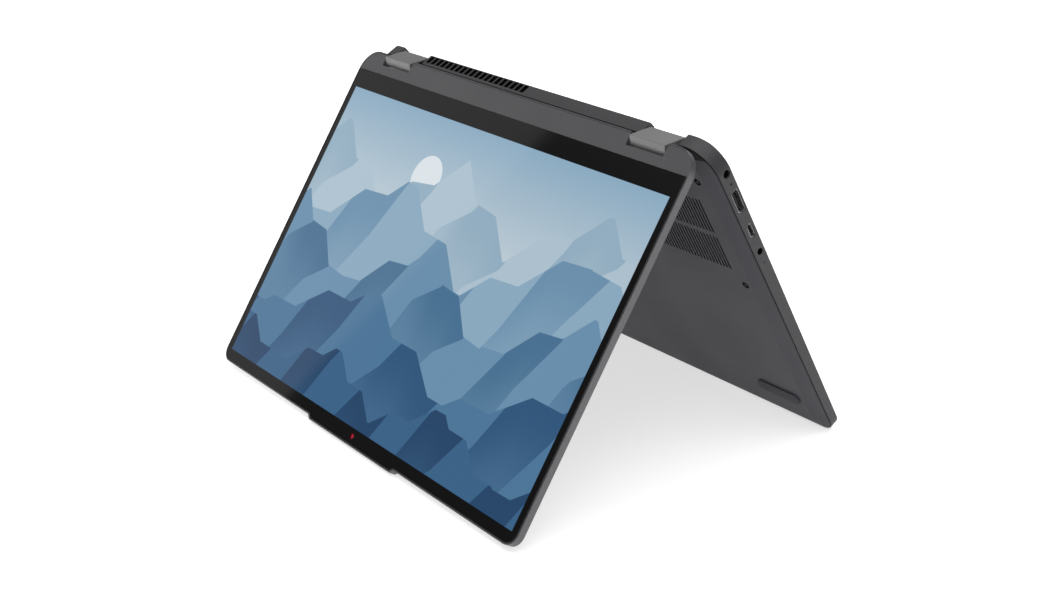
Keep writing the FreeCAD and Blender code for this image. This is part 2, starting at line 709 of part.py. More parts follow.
def add_touchpad():
    body = new_body("touchpad", "base")
    top = "deck_height - 0.15"
    plate = outline(body, "PadOutline", "XY", top + " - pad_thickness",
                    ("-pad_width / 2", "pad_width / 2"), ("pad_rear", "pad_rear + pad_depth"), "1", "1")
    pad(body, "Pad", plate, "pad_thickness")
    bracket = new_body("touchpad_bracket", "base")
    x = ("-pad_width / 2 - 3.5", "pad_width / 2 + 3.5")
    y = ("pad_rear - 3.5", "pad_rear + pad_depth + 3.1")
    box(bracket, "Tray", x, y, ("deck_under - bracket_depth", "deck_under"))
    hollow_x = ("-pad_width / 2 - pad_play", "pad_width / 2 + pad_play")
    hollow_y = ("pad_rear - pad_play", "pad_rear + pad_depth + pad_play")
    box(bracket, "Room", hollow_x, hollow_y,
        ("deck_under - bracket_depth + bracket_floor", "deck_under + 1"), cut=True)


def add_battery():
    body = new_body("battery", "base")
    top = "deck_under - bracket_depth"
    for index in range(4):
        low = "-100 + %d * 50.2" % index
        box(body, "Cell", (low, low + " + 49.4"), ("pad_rear - 2", "pad_rear + pad_depth + 1"),
            (top + " - battery_thickness", top))
    box(body, "Carrier", ("-100", "100"), ("pad_rear - 3", "pad_rear - 1"),
        (top + " - battery_thickness", top))
    dress(body, "Fillet", "CellEdges", "1.2",
          lambda edge: is_along(edge, "x") and edge.BoundBox.YMin > number("pad_rear + pad_depth"))


CPU = ("22", "56")


def add_boards():
    body = new_body("motherboard", "base")
    z = ("board_under", "board_top")
    edge = "base_width / 2 - shell_wall - 1.3"
    box(body, "Board", ("-24", edge), ("20", "124"), z)
    box(body, "PowerTab", ("screw_x", edge), ("10.5", "21"), z)
    for y in SCREW_Y:
        rod(body, "BossRoom", "z", ("screw_x", y, "board_under - 1"), "boss_radius + 0.4",
            "board_thickness + 2", cut=True)
    for x in ("-14", "6", "26", "46"):
        box(body, "Memory", (x, x + " + 15"), ("86", "97"), ("board_top - 0.1", "board_top + 1"))
    box(body, "Processor", (CPU[0] + " - 13", CPU[0] + " + 13"), (CPU[1] + " - 10", CPU[1] + " + 10"),
        ("board_under - 0.6", "board_under + 0.1"))
    ssd = new_body("ssd_module", "base")
    box(ssd, "Stick", ("60", "82"), ("44", "86"), ("board_under - 0.8", "board_under"))
    box(ssd, "Chips", ("62", "80"), ("50", "80"), ("board_under - 1.4", "board_under - 0.7"))
    card = new_body("wifi_card", "base")
    box(card, "Stick", ("92", "114"), ("54", "84"), ("board_under - 0.8", "board_under"))
    box(card, "Shield", ("94", "112"), ("60", "82"), ("board_under - 1.4", "board_under - 0.7"))
    side = new_body("io_board", "base")
    box(side, "Board", ("-(%s)" % edge, "-130"), ("17", "102"), z)
    rod(side, "BossRoom", "z", ("-screw_x", SCREW_Y[1], "board_under - 1"), "boss_radius + 0.4",
        "board_thickness + 2", cut=True)
    rod(side, "BossRoomRear", "z", ("-screw_x", SCREW_Y[0], "board_under - 1"), "boss_radius + 0.4",
        "board_thickness + 2", cut=True)


FAN_Y = "46"


def add_cooling():
    housing = new_body("fan_housing", "base")
    low = "plate_top - plate_thickness - 0.2 - fan_height"
    high = "plate_top - plate_thickness - 0.2"
    x = ("fan_x - fan_side / 2", "fan_x + fan_side / 2")
    y = (FAN_Y + " - fan_side / 2", FAN_Y + " + fan_side / 2")
    box(housing, "Case", x, y, (low, high))
    rod(housing, "Volute", "z", ("fan_x", FAN_Y, low + " + 0.5"), "rotor_radius + 2.5", "fan_height - 1",
        cut=True)
    box(housing, "Outlet", ("fan_x - rotor_radius - 2.5", "fan_x + rotor_radius + 2.5"),
        (y[0] + " - 1", FAN_Y), (low + " + 0.5", high + " - 0.5"), cut=True)
    rod(housing, "Intake", "z", ("fan_x", FAN_Y, low + " - 1"), "rotor_radius * 0.68", "2", cut=True)
    rod(housing, "Post", "z", ("fan_x", FAN_Y, low + " + 0.9"), "1.5", "fan_height - 0.9")
    dress(housing, "Fillet", "CaseCorners", "10",
          lambda edge: is_along(edge, "z") and lies_at(edge, "y", number(y[1])))
    rotor = new_body("fan_rotor", "base")
    bottom = low + " + 0.9"
    rod(rotor, "Hub", "z", ("fan_x", FAN_Y, bottom), "9", "fan_height - 1.8")
    blade = box(rotor, "Blade", ("fan_x + 8", "fan_x + rotor_radius"),
                (FAN_Y + " - 0.35", FAN_Y + " + 0.35"),
                (bottom + " + 0.2", bottom + " + fan_height - 2"))
    add_blades(rotor, blade)
    rod(rotor, "Bore", "z", ("fan_x", FAN_Y, bottom + " - 1"), "1.5 + shaft_play", "fan_height", cut=True)
    fins = new_body("heat_sink_fins", "base")
    pitch = 2.4
    floor = "pipe_top"
    y = ("-base_back + shell_wall + 0.5", "11.8")
    for index in range(24):
        left = "fan_x - 28 + %s" % (index * pitch)
        box(fins, "Fin", (left, left + " + 0.4"), y, (floor, floor + " + fin_depth"))
    box(fins, "Base", ("fan_x - 28.5", "fan_x + 28.5"), y, (floor, floor + " + 0.5"))
    add_heat_pipe()


def add_blades(rotor, blade):
    axis_sketch = new_sketch(rotor, "Centre", "XY", "0")
    axis_sketch.setExpression("AttachmentOffset.Base.x", linked("fan_x"))
    axis_sketch.setExpression("AttachmentOffset.Base.y", linked(FAN_Y))
    pattern = rotor.newObject("PartDesign::PolarPattern", "Blades")
    pattern.Originals = [blade]
    pattern.Axis = (axis_sketch, ["N_Axis"])
    pattern.Angle = 360
    pattern.Occurrences = 22
    rotor.Tip = pattern


def add_heat_pipe():
    """Flat pipe along the fins, then forward to the processor."""
    pipe = new_body("heat_pipe", "base")
    level = "pipe_top - pipe_thickness"
    route = polygon(pipe, "Route", "XY", level, [
        ("fan_x - 28", "2"),
        (CPU[0] + " + 4", "2"),
        (CPU[0] + " + 4", CPU[1] + " + 10"),
        (CPU[0] + " - 4", CPU[1] + " + 10"),
        (CPU[0] + " - 4", "10"),
        ("fan_x - 28", "10"),
    ])
    pad(pipe, "Pipe", route, "pipe_thickness")
    outer = number(CPU[0] + " + 4")
    inner = number(CPU[0] + " - 4")
    dress(pipe, "Fillet", "OuterBend", "12",
          lambda edge: is_along(edge, "z") and lies_at(edge, "x", outer) and lies_at(edge, "y", 2))
    dress(pipe, "Fillet", "InnerBend", "4",
          lambda edge: is_along(edge, "z") and lies_at(edge, "x", inner) and lies_at(edge, "y", 10))
    box(pipe, "ColdPlate", (CPU[0] + " - 15", CPU[0] + " + 15"), (CPU[1] + " - 12", CPU[1] + " + 12"),
        ("pipe_top - 0.3", "board_under - 0.6"))


def add_speakers():
    for name, side in SIDES:
        body = new_body("speaker_" + name, "base")
        x = sided(side, "base_width / 2 - 14.4", "base_width / 2 - 3.5")
        box(body, "Chamber", x, SPEAKER_Y, ("deck_under - 4.6", "deck_under"))
        box(body, "Mouth", sided(side, "base_width / 2 - 13.6", "base_width / 2 - 5.9"),
            (SPEAKER_Y[0] + " + 1.6", SPEAKER_Y[1] + " - 1.6"),
            ("deck_under - 1", "deck_under + 1"), cut=True)


def port_shell(body, side, y, depth, width, height, radii):
    """A metal shell through the side wall, open to the outside, with a foot down to the board."""
    wall = "0.3"
    outer = "base_width / 2 - 0.4"
    inner = "base_width / 2 - %s" % depth
    half = "%s / 2" % width
    tall = "%s / 2" % height
    shell = outline(body, "Shell", "YZ", sided(side, inner, outer)[0], (y + " - " + half, y + " + " + half),
                    ("port_level - " + tall, "port_level + " + tall), *radii)
    pad(body, "ShellBody", shell, "%s - 0.4" % depth)
    box(body, "Foot", sided(side, inner, "base_width / 2 - shell_wall - 0.6"),
        (y + " - " + half + " + 1.8", y + " + " + half + " - 1.8"),
        ("board_top", "port_level - " + tall + " + 0.2"))
    mouth = outline(body, "Mouth", "YZ", sided(side, inner + " + 1.2", outer + " + 1")[0],
                    (y + " - %s + %s" % (half, wall), y + " + %s - %s" % (half, wall)),
                    ("port_level - %s + %s" % (tall, wall), "port_level + %s - %s" % (tall, wall)),
                    *["%s - %s" % (radius, wall) for radius in radii])
    pocket(body, "MouthCut", mouth, "%s - 0.6" % depth)


def port_tongue(body, side, y, width, thickness, depth, drop="0"):
    box(body, "Tongue", sided(side, "base_width / 2 - %s" % depth, "base_width / 2 - 2"),
        (y + " - %s / 2" % width, y + " + %s / 2" % width),
        ("port_level + %s - %s / 2" % (drop, thickness), "port_level + %s + %s / 2" % (drop, thickness)))


def add_ports():
    hdmi = new_body("hdmi_socket", "base")
    port_shell(hdmi, 1, LEFT_PORTS["hdmi"], "12", *HDMI)
    port_tongue(hdmi, 1, LEFT_PORTS["hdmi"], "10.8", "1.0", "11")
    usb_c = new_body("usb_c_socket", "base")
    port_shell(usb_c, 1, LEFT_PORTS["usb_c"], "10", *USB_C)
    port_tongue(usb_c, 1, LEFT_PORTS["usb_c"], "6.7", "0.7", "9")
    usb_a = new_body("usb_a_sockets", "base")
    for y in USB_A_Y:
        port_shell(usb_a, -1, y, "14", *USB_A)
        port_tongue(usb_a, -1, y, "11.1", "1.8", "13", "0.9")
    card = new_body("card_reader", "base")
    port_shell(card, -1, CARD_Y, "16", *CARD)
    add_round_ports()


def add_round_ports():
    wall = "base_width / 2 - shell_wall"
    jack = new_body("audio_jack", "base")
    y = LEFT_PORTS["audio"]
    box(jack, "Block", (wall + " - 12", wall), (y + " - 3.2", y + " + 3.2"),
        ("board_top", "port_level + 2.5"))
    rod(jack, "Nose", "x", (wall + " - 0.5", y, "port_level"), "1.95", "shell_wall + 0.2")
    rod(jack, "Bore", "x", (wall + " - 11", y, "port_level"), "1.8", "13", cut=True)
    power = new_body("dc_jack", "base")
    y = LEFT_PORTS["dc"]
    box(power, "Block", (wall + " - 9.5", wall + " - 0.5"), (y + " - 3.6", y + " + 3.6"),
        ("board_top", "port_level + 2.6"))
    rod(power, "Bore", "x", (wall + " - 8.5", y, "port_level"), "2.2", "10", cut=True)
    rod(power, "Pin", "x", (wall + " - 9", y, "port_level"), "0.8", "8")
    light = new_body("charge_light", "base")
    y = LEFT_PORTS["light"]
    rod(light, "Lens", "x", (wall + " - 0.5", y, "port_level"), "0.6", "shell_wall + 0.4")
    box(light, "Guide", (wall + " - 3", wall), (y + " - 1", y + " + 1"), ("board_top", "port_level + 0.8"))
    button = new_body("power_button", "base")
    x = ("-base_width / 2", "-base_width / 2 + 2.4")
    box(button, "Cap", x, (POWER_Y + " - 6", POWER_Y + " + 6"), ("port_level - 1.5", "port_level + 1.5"))
    box(button, "Flange", ("-base_width / 2 + shell_wall + 0.6", "-base_width / 2 + 2.4"),
        (POWER_Y + " - 7", POWER_Y + " + 7"), ("port_level - 1.9", "port_level + 1.9"))
    ends = [number(POWER_Y + " - 6"), number(POWER_Y + " + 6")]
    dress(button, "Fillet", "CapEnds", "1.2",
          lambda edge: is_along(edge, "x") and any(lies_at(edge, "y", end) for end in ends))


HINGE_INNER = "hinge_offset - hinge_width / 2"
HINGE_ROOM_END = "hinge_offset + hinge_width / 2 - hinge_wall"


def add_hinges():
    for name, side in SIDES:
        add_hinge_cover(name, side)
        add_base_hinge(name, side)
        add_lid_hinge(name, side)


def add_hinge_cover(name, side):
    """Outer cover open at the inner end, and the steel link that fills it."""
    body = new_body("hinge_cover_" + name, "link")
    low, high = sided(side, "hinge_offset - hinge_width / 2", "hinge_offset + hinge_width / 2")
    y = ("-hinge_rear_face", "hinge_half")
    z = ("-hinge_half", "hinge_pitch + hinge_half")
    profile = polygon(body, "Section", "YZ", low, [
        (y[0], z[0]),
        (y[1], z[0]),
        (y[1], z[1]),
        (y[0], z[1]),
    ])
    pad(body, "Cover", profile, "hinge_width")
    dress(body, "Fillet", "LongEdges", "0.4", lambda edge: is_along(edge, "x"))
    room_y = ("-hinge_rear_face + hinge_wall", "hinge_half - hinge_wall")
    room_z = ("-hinge_half + hinge_wall", "hinge_pitch + hinge_half - hinge_wall")
    room_x = sided(side, HINGE_INNER + " - 1", HINGE_ROOM_END)
    box(body, "Room", room_x, room_y, room_z, cut=True)
    link = new_body("hinge_link_" + name, "link")
    link_x = sided(side, HINGE_INNER + " + 0.6", HINGE_ROOM_END)
    box(link, "Link", link_x, room_y, room_z)
    for level in ("0", "hinge_pitch"):
        start = sided(side, HINGE_INNER + " - 1", HINGE_ROOM_END + " - 1")
        rod(link, "ShaftBore", "x", (start[0], "0", level), "shaft_radius + shaft_play",
            "hinge_width - hinge_wall", cut=True)


def shaft_start(side):
    return sided(side, HINGE_INNER + " - 14", HINGE_ROOM_END + " - 1.3")[0]


SHAFT_LENGTH = "hinge_width + 12.7 - hinge_wall"


def add_base_hinge(name, side):
    body = new_body("base_hinge_" + name, "base")
    rod(body, "Shaft", "x", (shaft_start(side), "0", "0"), "shaft_radius", SHAFT_LENGTH)
    x = sided(side, HINGE_INNER + " - 14", "hinge_offset - notch_half - shell_wall - 0.3")
    box(body, "Arm", x, ("-1.45", "3"), ("-1.8", "deck_under"))
    box(body, "Leaf", x, ("0", "21"), ("deck_under - 1.4", "deck_under"))
    spot = "%d * (hinge_offset - hinge_width / 2 - 8)" % side
    for y in ("8", "16"):
        rod(body, "LeafHole", "z", (spot, y, "deck_under - 3"), "1.1", "4", cut=True)


def add_lid_hinge(name, side):
    body = new_body("lid_hinge_" + name, "lid")
    rod(body, "Shaft", "x", (shaft_start(side), "0", "0"), "shaft_radius", SHAFT_LENGTH)
    x = sided(side, HINGE_INNER + " - 14", "hinge_offset - notch_half - 1.2")
    inside = "lid_outside - back_wall"
    box(body, "Arm", x, ("-1.45", "3"), ("-1.2", inside))
    box(body, "Leaf", x, ("0", "46"), (inside + " - 0.7", inside))
    spot = "%d * (hinge_offset - hinge_width / 2 - 8)" % side
    for y in ("14", "26", "38"):
        rod(body, "LeafHole", "z", (spot, y, inside + " - 2"), "1.2", "4", cut=True)




def lip_corners(inset):
    """Camera lip on the free edge, drawn in by inset."""
    foot = "lip_width / 2 - (%s)" % inset
    head = "lip_width / 2 - lip_slant - (%s)" % inset
    low = "lid_reach - 4"
    high = "lid_reach + lip_height - (%s)" % inset
    shoulder = "lid_reach - (%s)" % inset
    return [
        ("-(%s)" % foot, low),
        (foot, low),
        (foot, shoulder),
        (head, high),
        ("-(%s)" % head, high),
        ("-(%s)" % foot, shoulder),
    ]


def lid_block(body, name, level, height, inset, rear, cut=False):
    """The lid's outline with its lip, drawn in by inset, from the given rear edge."""
    half = "lid_width / 2 - (%s)" % inset
    shape = outline(body, name + "Outline", "XY", level, ("-(%s)" % half, half),
                    (rear, "lid_reach - (%s)" % inset), "lid_radius - (%s)" % inset,
                    "front_radius - (%s)" % inset)
    lip = polygon(body, name + "LipOutline", "XY", level, lip_corners(inset))
    for label, sketch in ((name, shape), (name + "Lip", lip)):
        if cut:
            pocket(body, label, sketch, height)
        else:
            pad(body, label, sketch, height)


def add_lid():
    body = new_body("lid_back_cover", "lid")
    lid_block(body, "Cover", "-screen_drop", "lid_thickness", "0", "-lid_back")
    back = number("lid_outside")
    dress(body, "Chamfer", "BackEdge", "back_chamfer", lambda edge: lies_at(edge, "z", back))
    lid_block(body, "Inside", "-screen_drop - 1", "lid_thickness - back_wall + 1", "rim_wall",
              "-lid_back + rim_wall", cut=True)
    under = "-screen_drop + strip_thickness"
    for name, side in SIDES:
        box(body, "NotchWall",
            sided(side, "hinge_offset - notch_half - 0.9", "hinge_offset + notch_half + 0.9"),
            ("-lid_back + rim_wall / 2", "notch_reach + 0.9"), (under, "lid_outside - back_wall / 2"))
        box(body, "Notch", sided(side, "hinge_offset - notch_half", "hinge_offset + notch_half"),
            ("-lid_back - 5", "notch_reach"), ("-screen_drop - 5", "lid_outside + 5"), cut=True)
        start = sided(side, "hinge_offset - notch_half - 2", "hinge_offset")[0]
        rod(body, "ShaftHole", "x", (start, "0", "0"), "shaft_radius + 0.15", "notch_half + 2", cut=True)
    box(body, "ShutterSlot", ("-5", "10"), ("lid_reach", "lid_reach + lip_height + 1"),
        ("-screen_drop + glass_thickness", "-screen_drop + glass_thickness + 0.7"), cut=True)
    add_strip()
    add_screen()
    add_camera()


def add_strip():
    body = new_body("hinge_strip", "lid")
    half = "lid_width / 2 - rim_wall - 0.05"
    shape = outline(body, "StripOutline", "XY", "-screen_drop", ("-(%s)" % half, half),
                    ("-lid_back + rim_wall + 0.05", "lid_reach"), "lid_radius - rim_wall - 0.05", "1")
    pad(body, "Strip", shape, "strip_thickness")
    box(body, "StripEnd", ("-lid_width", "lid_width"), ("glass_rear - 0.1", "2 * lid_reach"),
        ("-10", "10"), cut=True)
    for name, side in SIDES:
        box(body, "Notch", sided(side, "hinge_offset - notch_half", "hinge_offset + notch_half"),
            ("-lid_back - 5", "notch_reach"), ("-10", "10"), cut=True)
    face = number("-screen_drop")
    rear = number("-lid_back + rim_wall + 0.05")
    dress(body, "Chamfer", "StripEdge", "0.3",
          lambda edge: lies_at(edge, "z", face) and lies_at(edge, "y", rear))


def add_screen():
    gasket = new_body("screen_gasket", "lid")
    level = "-screen_drop - gasket_proud"
    lid_block(gasket, "Rim", level, "glass_thickness + gasket_proud", "rim_wall", "-lid_back + rim_wall")
    lid_block(gasket, "Opening", level + " - 1", "glass_thickness + 3", "rim_wall + gasket_width",
              "-lid_back + rim_wall + gasket_width", cut=True)
    box(gasket, "HingeEnd", ("-lid_width", "lid_width"), ("-2 * lid_back - 20", "glass_rear"),
        ("-10", "10"), cut=True)
    glass = new_body("display_glass", "lid")
    lid_block(glass, "Glass", "-screen_drop", "glass_thickness", "rim_wall + gasket_width",
              "-lid_back + rim_wall + gasket_width")
    box(glass, "GlassEnd", ("-lid_width", "lid_width"), ("-2 * lid_back - 20", "glass_rear"),
        ("-10", "10"), cut=True)
    rod(glass, "CameraWindow", "z", ("0", CAMERA_Y, "-screen_drop - 1"), "1.8",
        "glass_thickness + 2", cut=True)
    panel = new_body("display_panel", "lid")
    back = "-screen_drop + glass_thickness"
    box(panel, "Panel", ("-active_width / 2 - 1.5", "active_width / 2 + 1.5"),
        ("active_rear - 1.5", "active_rear + active_height + 1.5"), (back, back + " + panel_thickness"))
    box(panel, "Driver", ("-active_width / 2 + 6", "active_width / 2 - 6"),
        ("glass_rear + 0.8", "active_rear"),
        (back, back + " + 1.2"))


CAMERA_Y = "active_rear + active_height + 4.4"


def add_camera():
    back = "-screen_drop + glass_thickness"
    inside = "lid_outside - back_wall"
    board = new_body("camera_board", "lid")
    y = (CAMERA_Y + " - 2.2", CAMERA_Y + " + 2.2")
    box(board, "Board", ("-36", "36"), y, (inside + " - 0.8", inside))
    rod(board, "Lens", "z", ("0", CAMERA_Y, back + " + 0.9"), "1.9",
        "lid_thickness - back_wall - glass_thickness - 1.3")
    shutter = new_body("camera_shutter", "lid")
    z = (back + " + 0.1", back + " + 0.6")
    box(shutter, "Blade", ("-2.4", "3"), (CAMERA_Y + " - 2", CAMERA_Y + " + 2"), z)
    box(shutter, "Tab", ("-1.6", "2.6"), (CAMERA_Y + " + 1", "lid_reach + lip_height - 0.2"), z)


def turn(angle):
    return FreeCAD.Rotation(FreeCAD.Vector(1, 0, 0), angle)


def tent_poses():
    """Placement of each half, with both halves standing on the floor at z = 0."""
    opening = number("open_angle")
    link_turn = opening / 2 + number("hinge_lean")
    pitch = number("hinge_pitch")
    base_foot = (number("base_reach"), number("deck_height - front_seam"))
    lid_foot = (number("lid_reach + lip_height"), number("lid_outside - back_chamfer"))
    swing = math.radians(opening)
    lean = math.radians(link_turn)
    along_sine = (base_foot[0] + pitch * math.sin(lean)
                  - lid_foot[0] * math.cos(swing) + lid_foot[1] * math.sin(swing))
    along_cosine = (base_foot[1] - pitch * math.cos(lean)
                    - lid_foot[0] * math.sin(swing) - lid_foot[1] * math.cos(swing))
    tilt = math.degrees(math.atan2(-along_cosine, along_sine))
    base = FreeCAD.Placement(FreeCAD.Vector(), turn(tilt))
    link = FreeCAD.Placement(FreeCAD.Vector(), turn(tilt + link_turn))
    upper_axis = link.multVec(FreeCAD.Vector(0, 0, pitch))
    lid = FreeCAD.Placement(upper_axis, turn(tilt + opening))
    wedge = math.degrees(math.atan2(number("rear_seam - front_seam"), number("base_length")))
    seam = FreeCAD.Vector(0, number("-base_back"), number("deck_height - rear_seam"))
    cover = base.multiply(FreeCAD.Placement(seam, turn(wedge)))
    return {"base": base, "link": link, "lid": lid, "cover": cover}


OUTER_PIECES = ("top_case", "lid_back_cover", "hinge_cover_left", "screen_gasket")


def place_bodies():
    """Puts every piece in its half's pose, with the tent's box centred over the origin."""
    poses = tent_poses()
    for label, body in bodies.items():
        body.Placement = poses[carrier[label]]
    corners = [vertex.Point for label in OUTER_PIECES for vertex in bodies[label].Shape.Vertexes]
    deep = [point.y for point in corners]
    shift = FreeCAD.Vector(0, -(min(deep) + max(deep)) / 2, -min(point.z for point in corners))
    for label, body in bodies.items():
        body.Placement = FreeCAD.Placement(shift, FreeCAD.Rotation()).multiply(poses[carrier[label]])
    return poses, shift


def check_objects():
    for item in doc.Objects:
        if "Invalid" in item.State or "Error" in item.State:
            raise RuntimeError("failed feature: %s in state %s" % (item.Name, item.State))
    for label, body in bodies.items():
        if body.Shape.isNull() or not body.Shape.isValid():
            raise RuntimeError("bad shape: " + label)


def report_axes(poses, shift):
    lower = poses["base"].Base + shift
    upper = poses["lid"].Base + shift
    print("lower axis", round(lower.y, 4), round(lower.z, 4))
    print("upper axis", round(upper.y, 4), round(upper.z, 4))
    for half in ("base", "link", "lid", "cover"):
        print(half, "turn about x", round(math.degrees(poses[half].Rotation.Angle), 4),
              tuple(round(v, 3) for v in poses[half].Rotation.Axis))


def export_parts():
    os.makedirs("parts", exist_ok=True)
    for label, body in bodies.items():
        body.Shape.exportStep("parts/%s.step" % label)


add_top_case()
add_bottom_cover()
add_feet()
add_keyboard_frame()
add_keys()
add_touchpad()
add_battery()
add_boards()
add_cooling()
add_speakers()
add_ports()
add_hinges()
add_lid()
doc.recompute()
tent, floor_shift = place_bodies()
check_objects()
report_axes(tent, floor_shift)
export_parts()
print("sub-parts", len(bodies))
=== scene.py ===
import bpy
import bmesh
import json
import math
from mathutils import Matrix, Vector


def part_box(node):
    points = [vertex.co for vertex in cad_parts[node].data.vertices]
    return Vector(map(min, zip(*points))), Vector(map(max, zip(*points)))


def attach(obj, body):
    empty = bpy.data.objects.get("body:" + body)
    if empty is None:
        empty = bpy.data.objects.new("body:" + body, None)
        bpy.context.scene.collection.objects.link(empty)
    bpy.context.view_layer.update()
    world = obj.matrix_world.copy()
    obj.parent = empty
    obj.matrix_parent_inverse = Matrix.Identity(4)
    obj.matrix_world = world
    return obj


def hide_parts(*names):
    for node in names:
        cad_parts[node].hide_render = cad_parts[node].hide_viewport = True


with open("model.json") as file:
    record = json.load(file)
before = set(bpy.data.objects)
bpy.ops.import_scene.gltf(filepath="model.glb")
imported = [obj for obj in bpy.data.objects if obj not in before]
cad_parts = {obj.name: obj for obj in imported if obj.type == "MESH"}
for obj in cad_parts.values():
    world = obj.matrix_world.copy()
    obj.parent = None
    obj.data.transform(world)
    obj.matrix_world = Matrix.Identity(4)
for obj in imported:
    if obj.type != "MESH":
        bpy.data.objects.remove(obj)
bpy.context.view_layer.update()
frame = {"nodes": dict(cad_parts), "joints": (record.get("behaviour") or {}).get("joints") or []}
nodes = frame["nodes"]
joints = {joint["name"]: joint for joint in frame["joints"]}

# Frames of the two halves, in the row frame. Sizes below are in millimetres in these frames.
MM = 0.001
normal = joints["space_bar_press"]["axis"]
base_turn = math.atan2(-normal[1], normal[2])
# Each hinge turns by half the opening, and its lower limit is the shut laptop.
opening = math.radians(-2 * joints["base_hinge"]["range_deg"][0])
lid_turn = base_turn + opening
lower_axis = Vector(joints["base_hinge"]["pos_m"])
upper_axis = Vector(joints["lid_hinge"]["pos_m"])
BASE = Matrix.Translation(lower_axis) @ Matrix.Rotation(base_turn, 4, "X")
LID = Matrix.Translation(upper_axis) @ Matrix.Rotation(lid_turn, 4, "X")

# Base, from the lower hinge axis: the seam lies below the deck, and the cover hangs below the seam.
DECK = 6.2
BASE_HALF = 156.5
BASE_BACK = 2.8
BASE_LENGTH = 221.2
REAR_SEAM = 9.3
FRONT_SEAM = 6.0
COVER_HEIGHT = 2.6
PORT_LEVEL = DECK - 3.9
RESET_Y = 79.5

# Lit area of the display, from the upper hinge axis
SCREEN_DROP = 2.7
ACTIVE_WIDTH = 301.6
ACTIVE_HEIGHT = 188.5
ACTIVE_REAR = 23.55

# Exhaust slots in the rear wall, from the right hinge cover, and intake slots in the cover
EXHAUST_FROM_HINGE = 2.8
EXHAUST_SPAN = 100.8
EXHAUST_HEIGHT = 5.8
EXHAUST_DROP = 4.4
VENT_X = (54.0, 135.5)
VENT_ROWS = ((36.4, 63.6), (64.4, 91.6))
VENT_Y = (VENT_ROWS[0][0], VENT_ROWS[1][1])
FLANK_REAR = 6.5

WEDGE = math.atan2(REAR_SEAM - FRONT_SEAM, BASE_LENGTH)
COVER = (BASE @ Matrix.Translation(Vector((0, -BASE_BACK, DECK - REAR_SEAM)) * MM)
         @ Matrix.Rotation(WEDGE, 4, "X"))


# Node helpers

class Nodes:
    """Short names for building a node tree."""

    def __init__(self, name):
        self.material = bpy.data.materials.new(name)
        self.material.use_nodes = True
        self.tree = self.material.node_tree
        self.shader = self.tree.nodes["Principled BSDF"]
        self.coordinates = None

    def link(self, source, target):
        self.tree.links.new(source, target)

    def feed(self, value, socket):
        if hasattr(value, "is_output"):
            self.link(value, socket)
        else:
            socket.default_value = value

    def node(self, kind, **settings):
        made = self.tree.nodes.new(kind)
        for key, value in settings.items():
            setattr(made, key, value)
        return made

    def math(self, operation, first, second=0.0, third=0.0):
        made = self.node("ShaderNodeMath", operation=operation)
        for value, socket in zip((first, second, third), made.inputs):
            self.feed(value, socket)
        return made.outputs[0]

    def smooth(self, value, low, high):
        """A soft step from 0 at low to 1 at high."""
        made = self.node("ShaderNodeMapRange", interpolation_type="SMOOTHSTEP")
        self.feed(value, made.inputs["Value"])
        self.feed(low, made.inputs["From Min"])
        self.feed(high, made.inputs["From Max"])
        return made.outputs["Result"]

    def split(self, vector):
        made = self.node("ShaderNodeSeparateXYZ")
        self.link(vector, made.inputs[0])
        return made.outputs

    def mix(self, factor, first, second):
        made = self.node("ShaderNodeMix", data_type="RGBA")
        self.feed(factor, made.inputs[0])
        self.feed(first, made.inputs[6])
        self.feed(second, made.inputs[7])
        return made.outputs[2]

    def place(self):
        if self.coordinates is None:
            self.coordinates = self.node("ShaderNodeTexCoord").outputs["Object"]
        return self.coordinates

    def local(self, matrix):
        """Coordinates in the frame of one half, in metres."""
        inverse = matrix.inverted()
        made = self.node("ShaderNodeMapping", vector_type="POINT")
        made.inputs["Location"].default_value = inverse.to_translation()
        made.inputs["Rotation"].default_value = inverse.to_euler("XYZ")
        self.link(self.place(), made.inputs["Vector"])
        return made.outputs["Vector"]

    def noise(self, scale, detail=3.0, vector=None):
        made = self.node("ShaderNodeTexNoise")
        made.inputs["Scale"].default_value = scale
        made.inputs["Detail"].default_value = detail
        self.link(vector or self.place(), made.inputs["Vector"])
        return made.outputs["Fac"]

    def bump(self, height, strength, distance):
        made = self.node("ShaderNodeBump")
        made.inputs["Strength"].default_value = strength
        made.inputs["Distance"].default_value = distance
        self.link(height, made.inputs["Height"])
        self.link(made.outputs["Normal"], self.shader.inputs["Normal"])

    def ramp(self, value, stops):
        made = self.node("ShaderNodeValToRGB")
        ramp = made.color_ramp
        while len(ramp.elements) < len(stops):
            ramp.elements.new(0.5)
        for element, (position, colour) in zip(ramp.elements, stops):
            element.position = position
            element.color = (*colour, 1.0)
        self.link(value, made.inputs["Fac"])
        return made.outputs["Color"]


def linear(code):
    """A colour written as an sRGB hex code, as linear numbers."""
    parts = [int(code[index:index + 2], 16) / 255 for index in (0, 2, 4)]
    return tuple(part / 12.92 if part <= 0.04045 else ((part + 0.055) / 1.055) ** 2.4 for part in parts)


def opaque(code):
    """The linear colour of a hex code, with full alpha."""
    return (*linear(code), 1.0)


def grey(level):
    """One number as an even colour."""
    return (level, level, level)


def shaded(colour, factor):
    """A lighter or darker shade of a colour."""
    return tuple(min(1.0, channel * factor) for channel in colour)


# The black of painted shade, mixed in where a mask marks slot walls, the reset hole and the cover's rear
# flank
PAINTED_SHADE_BLACK = (0.002, 0.002, 0.002, 1.0)
FULLY_ROUGH = (1.0, 1.0, 1.0, 1.0)
DRIFT_SCALE = 22.0
TONE_DRIFT = 0.035
GLOSS_DRIFT = 0.1
SPECK_TONE = 1.12


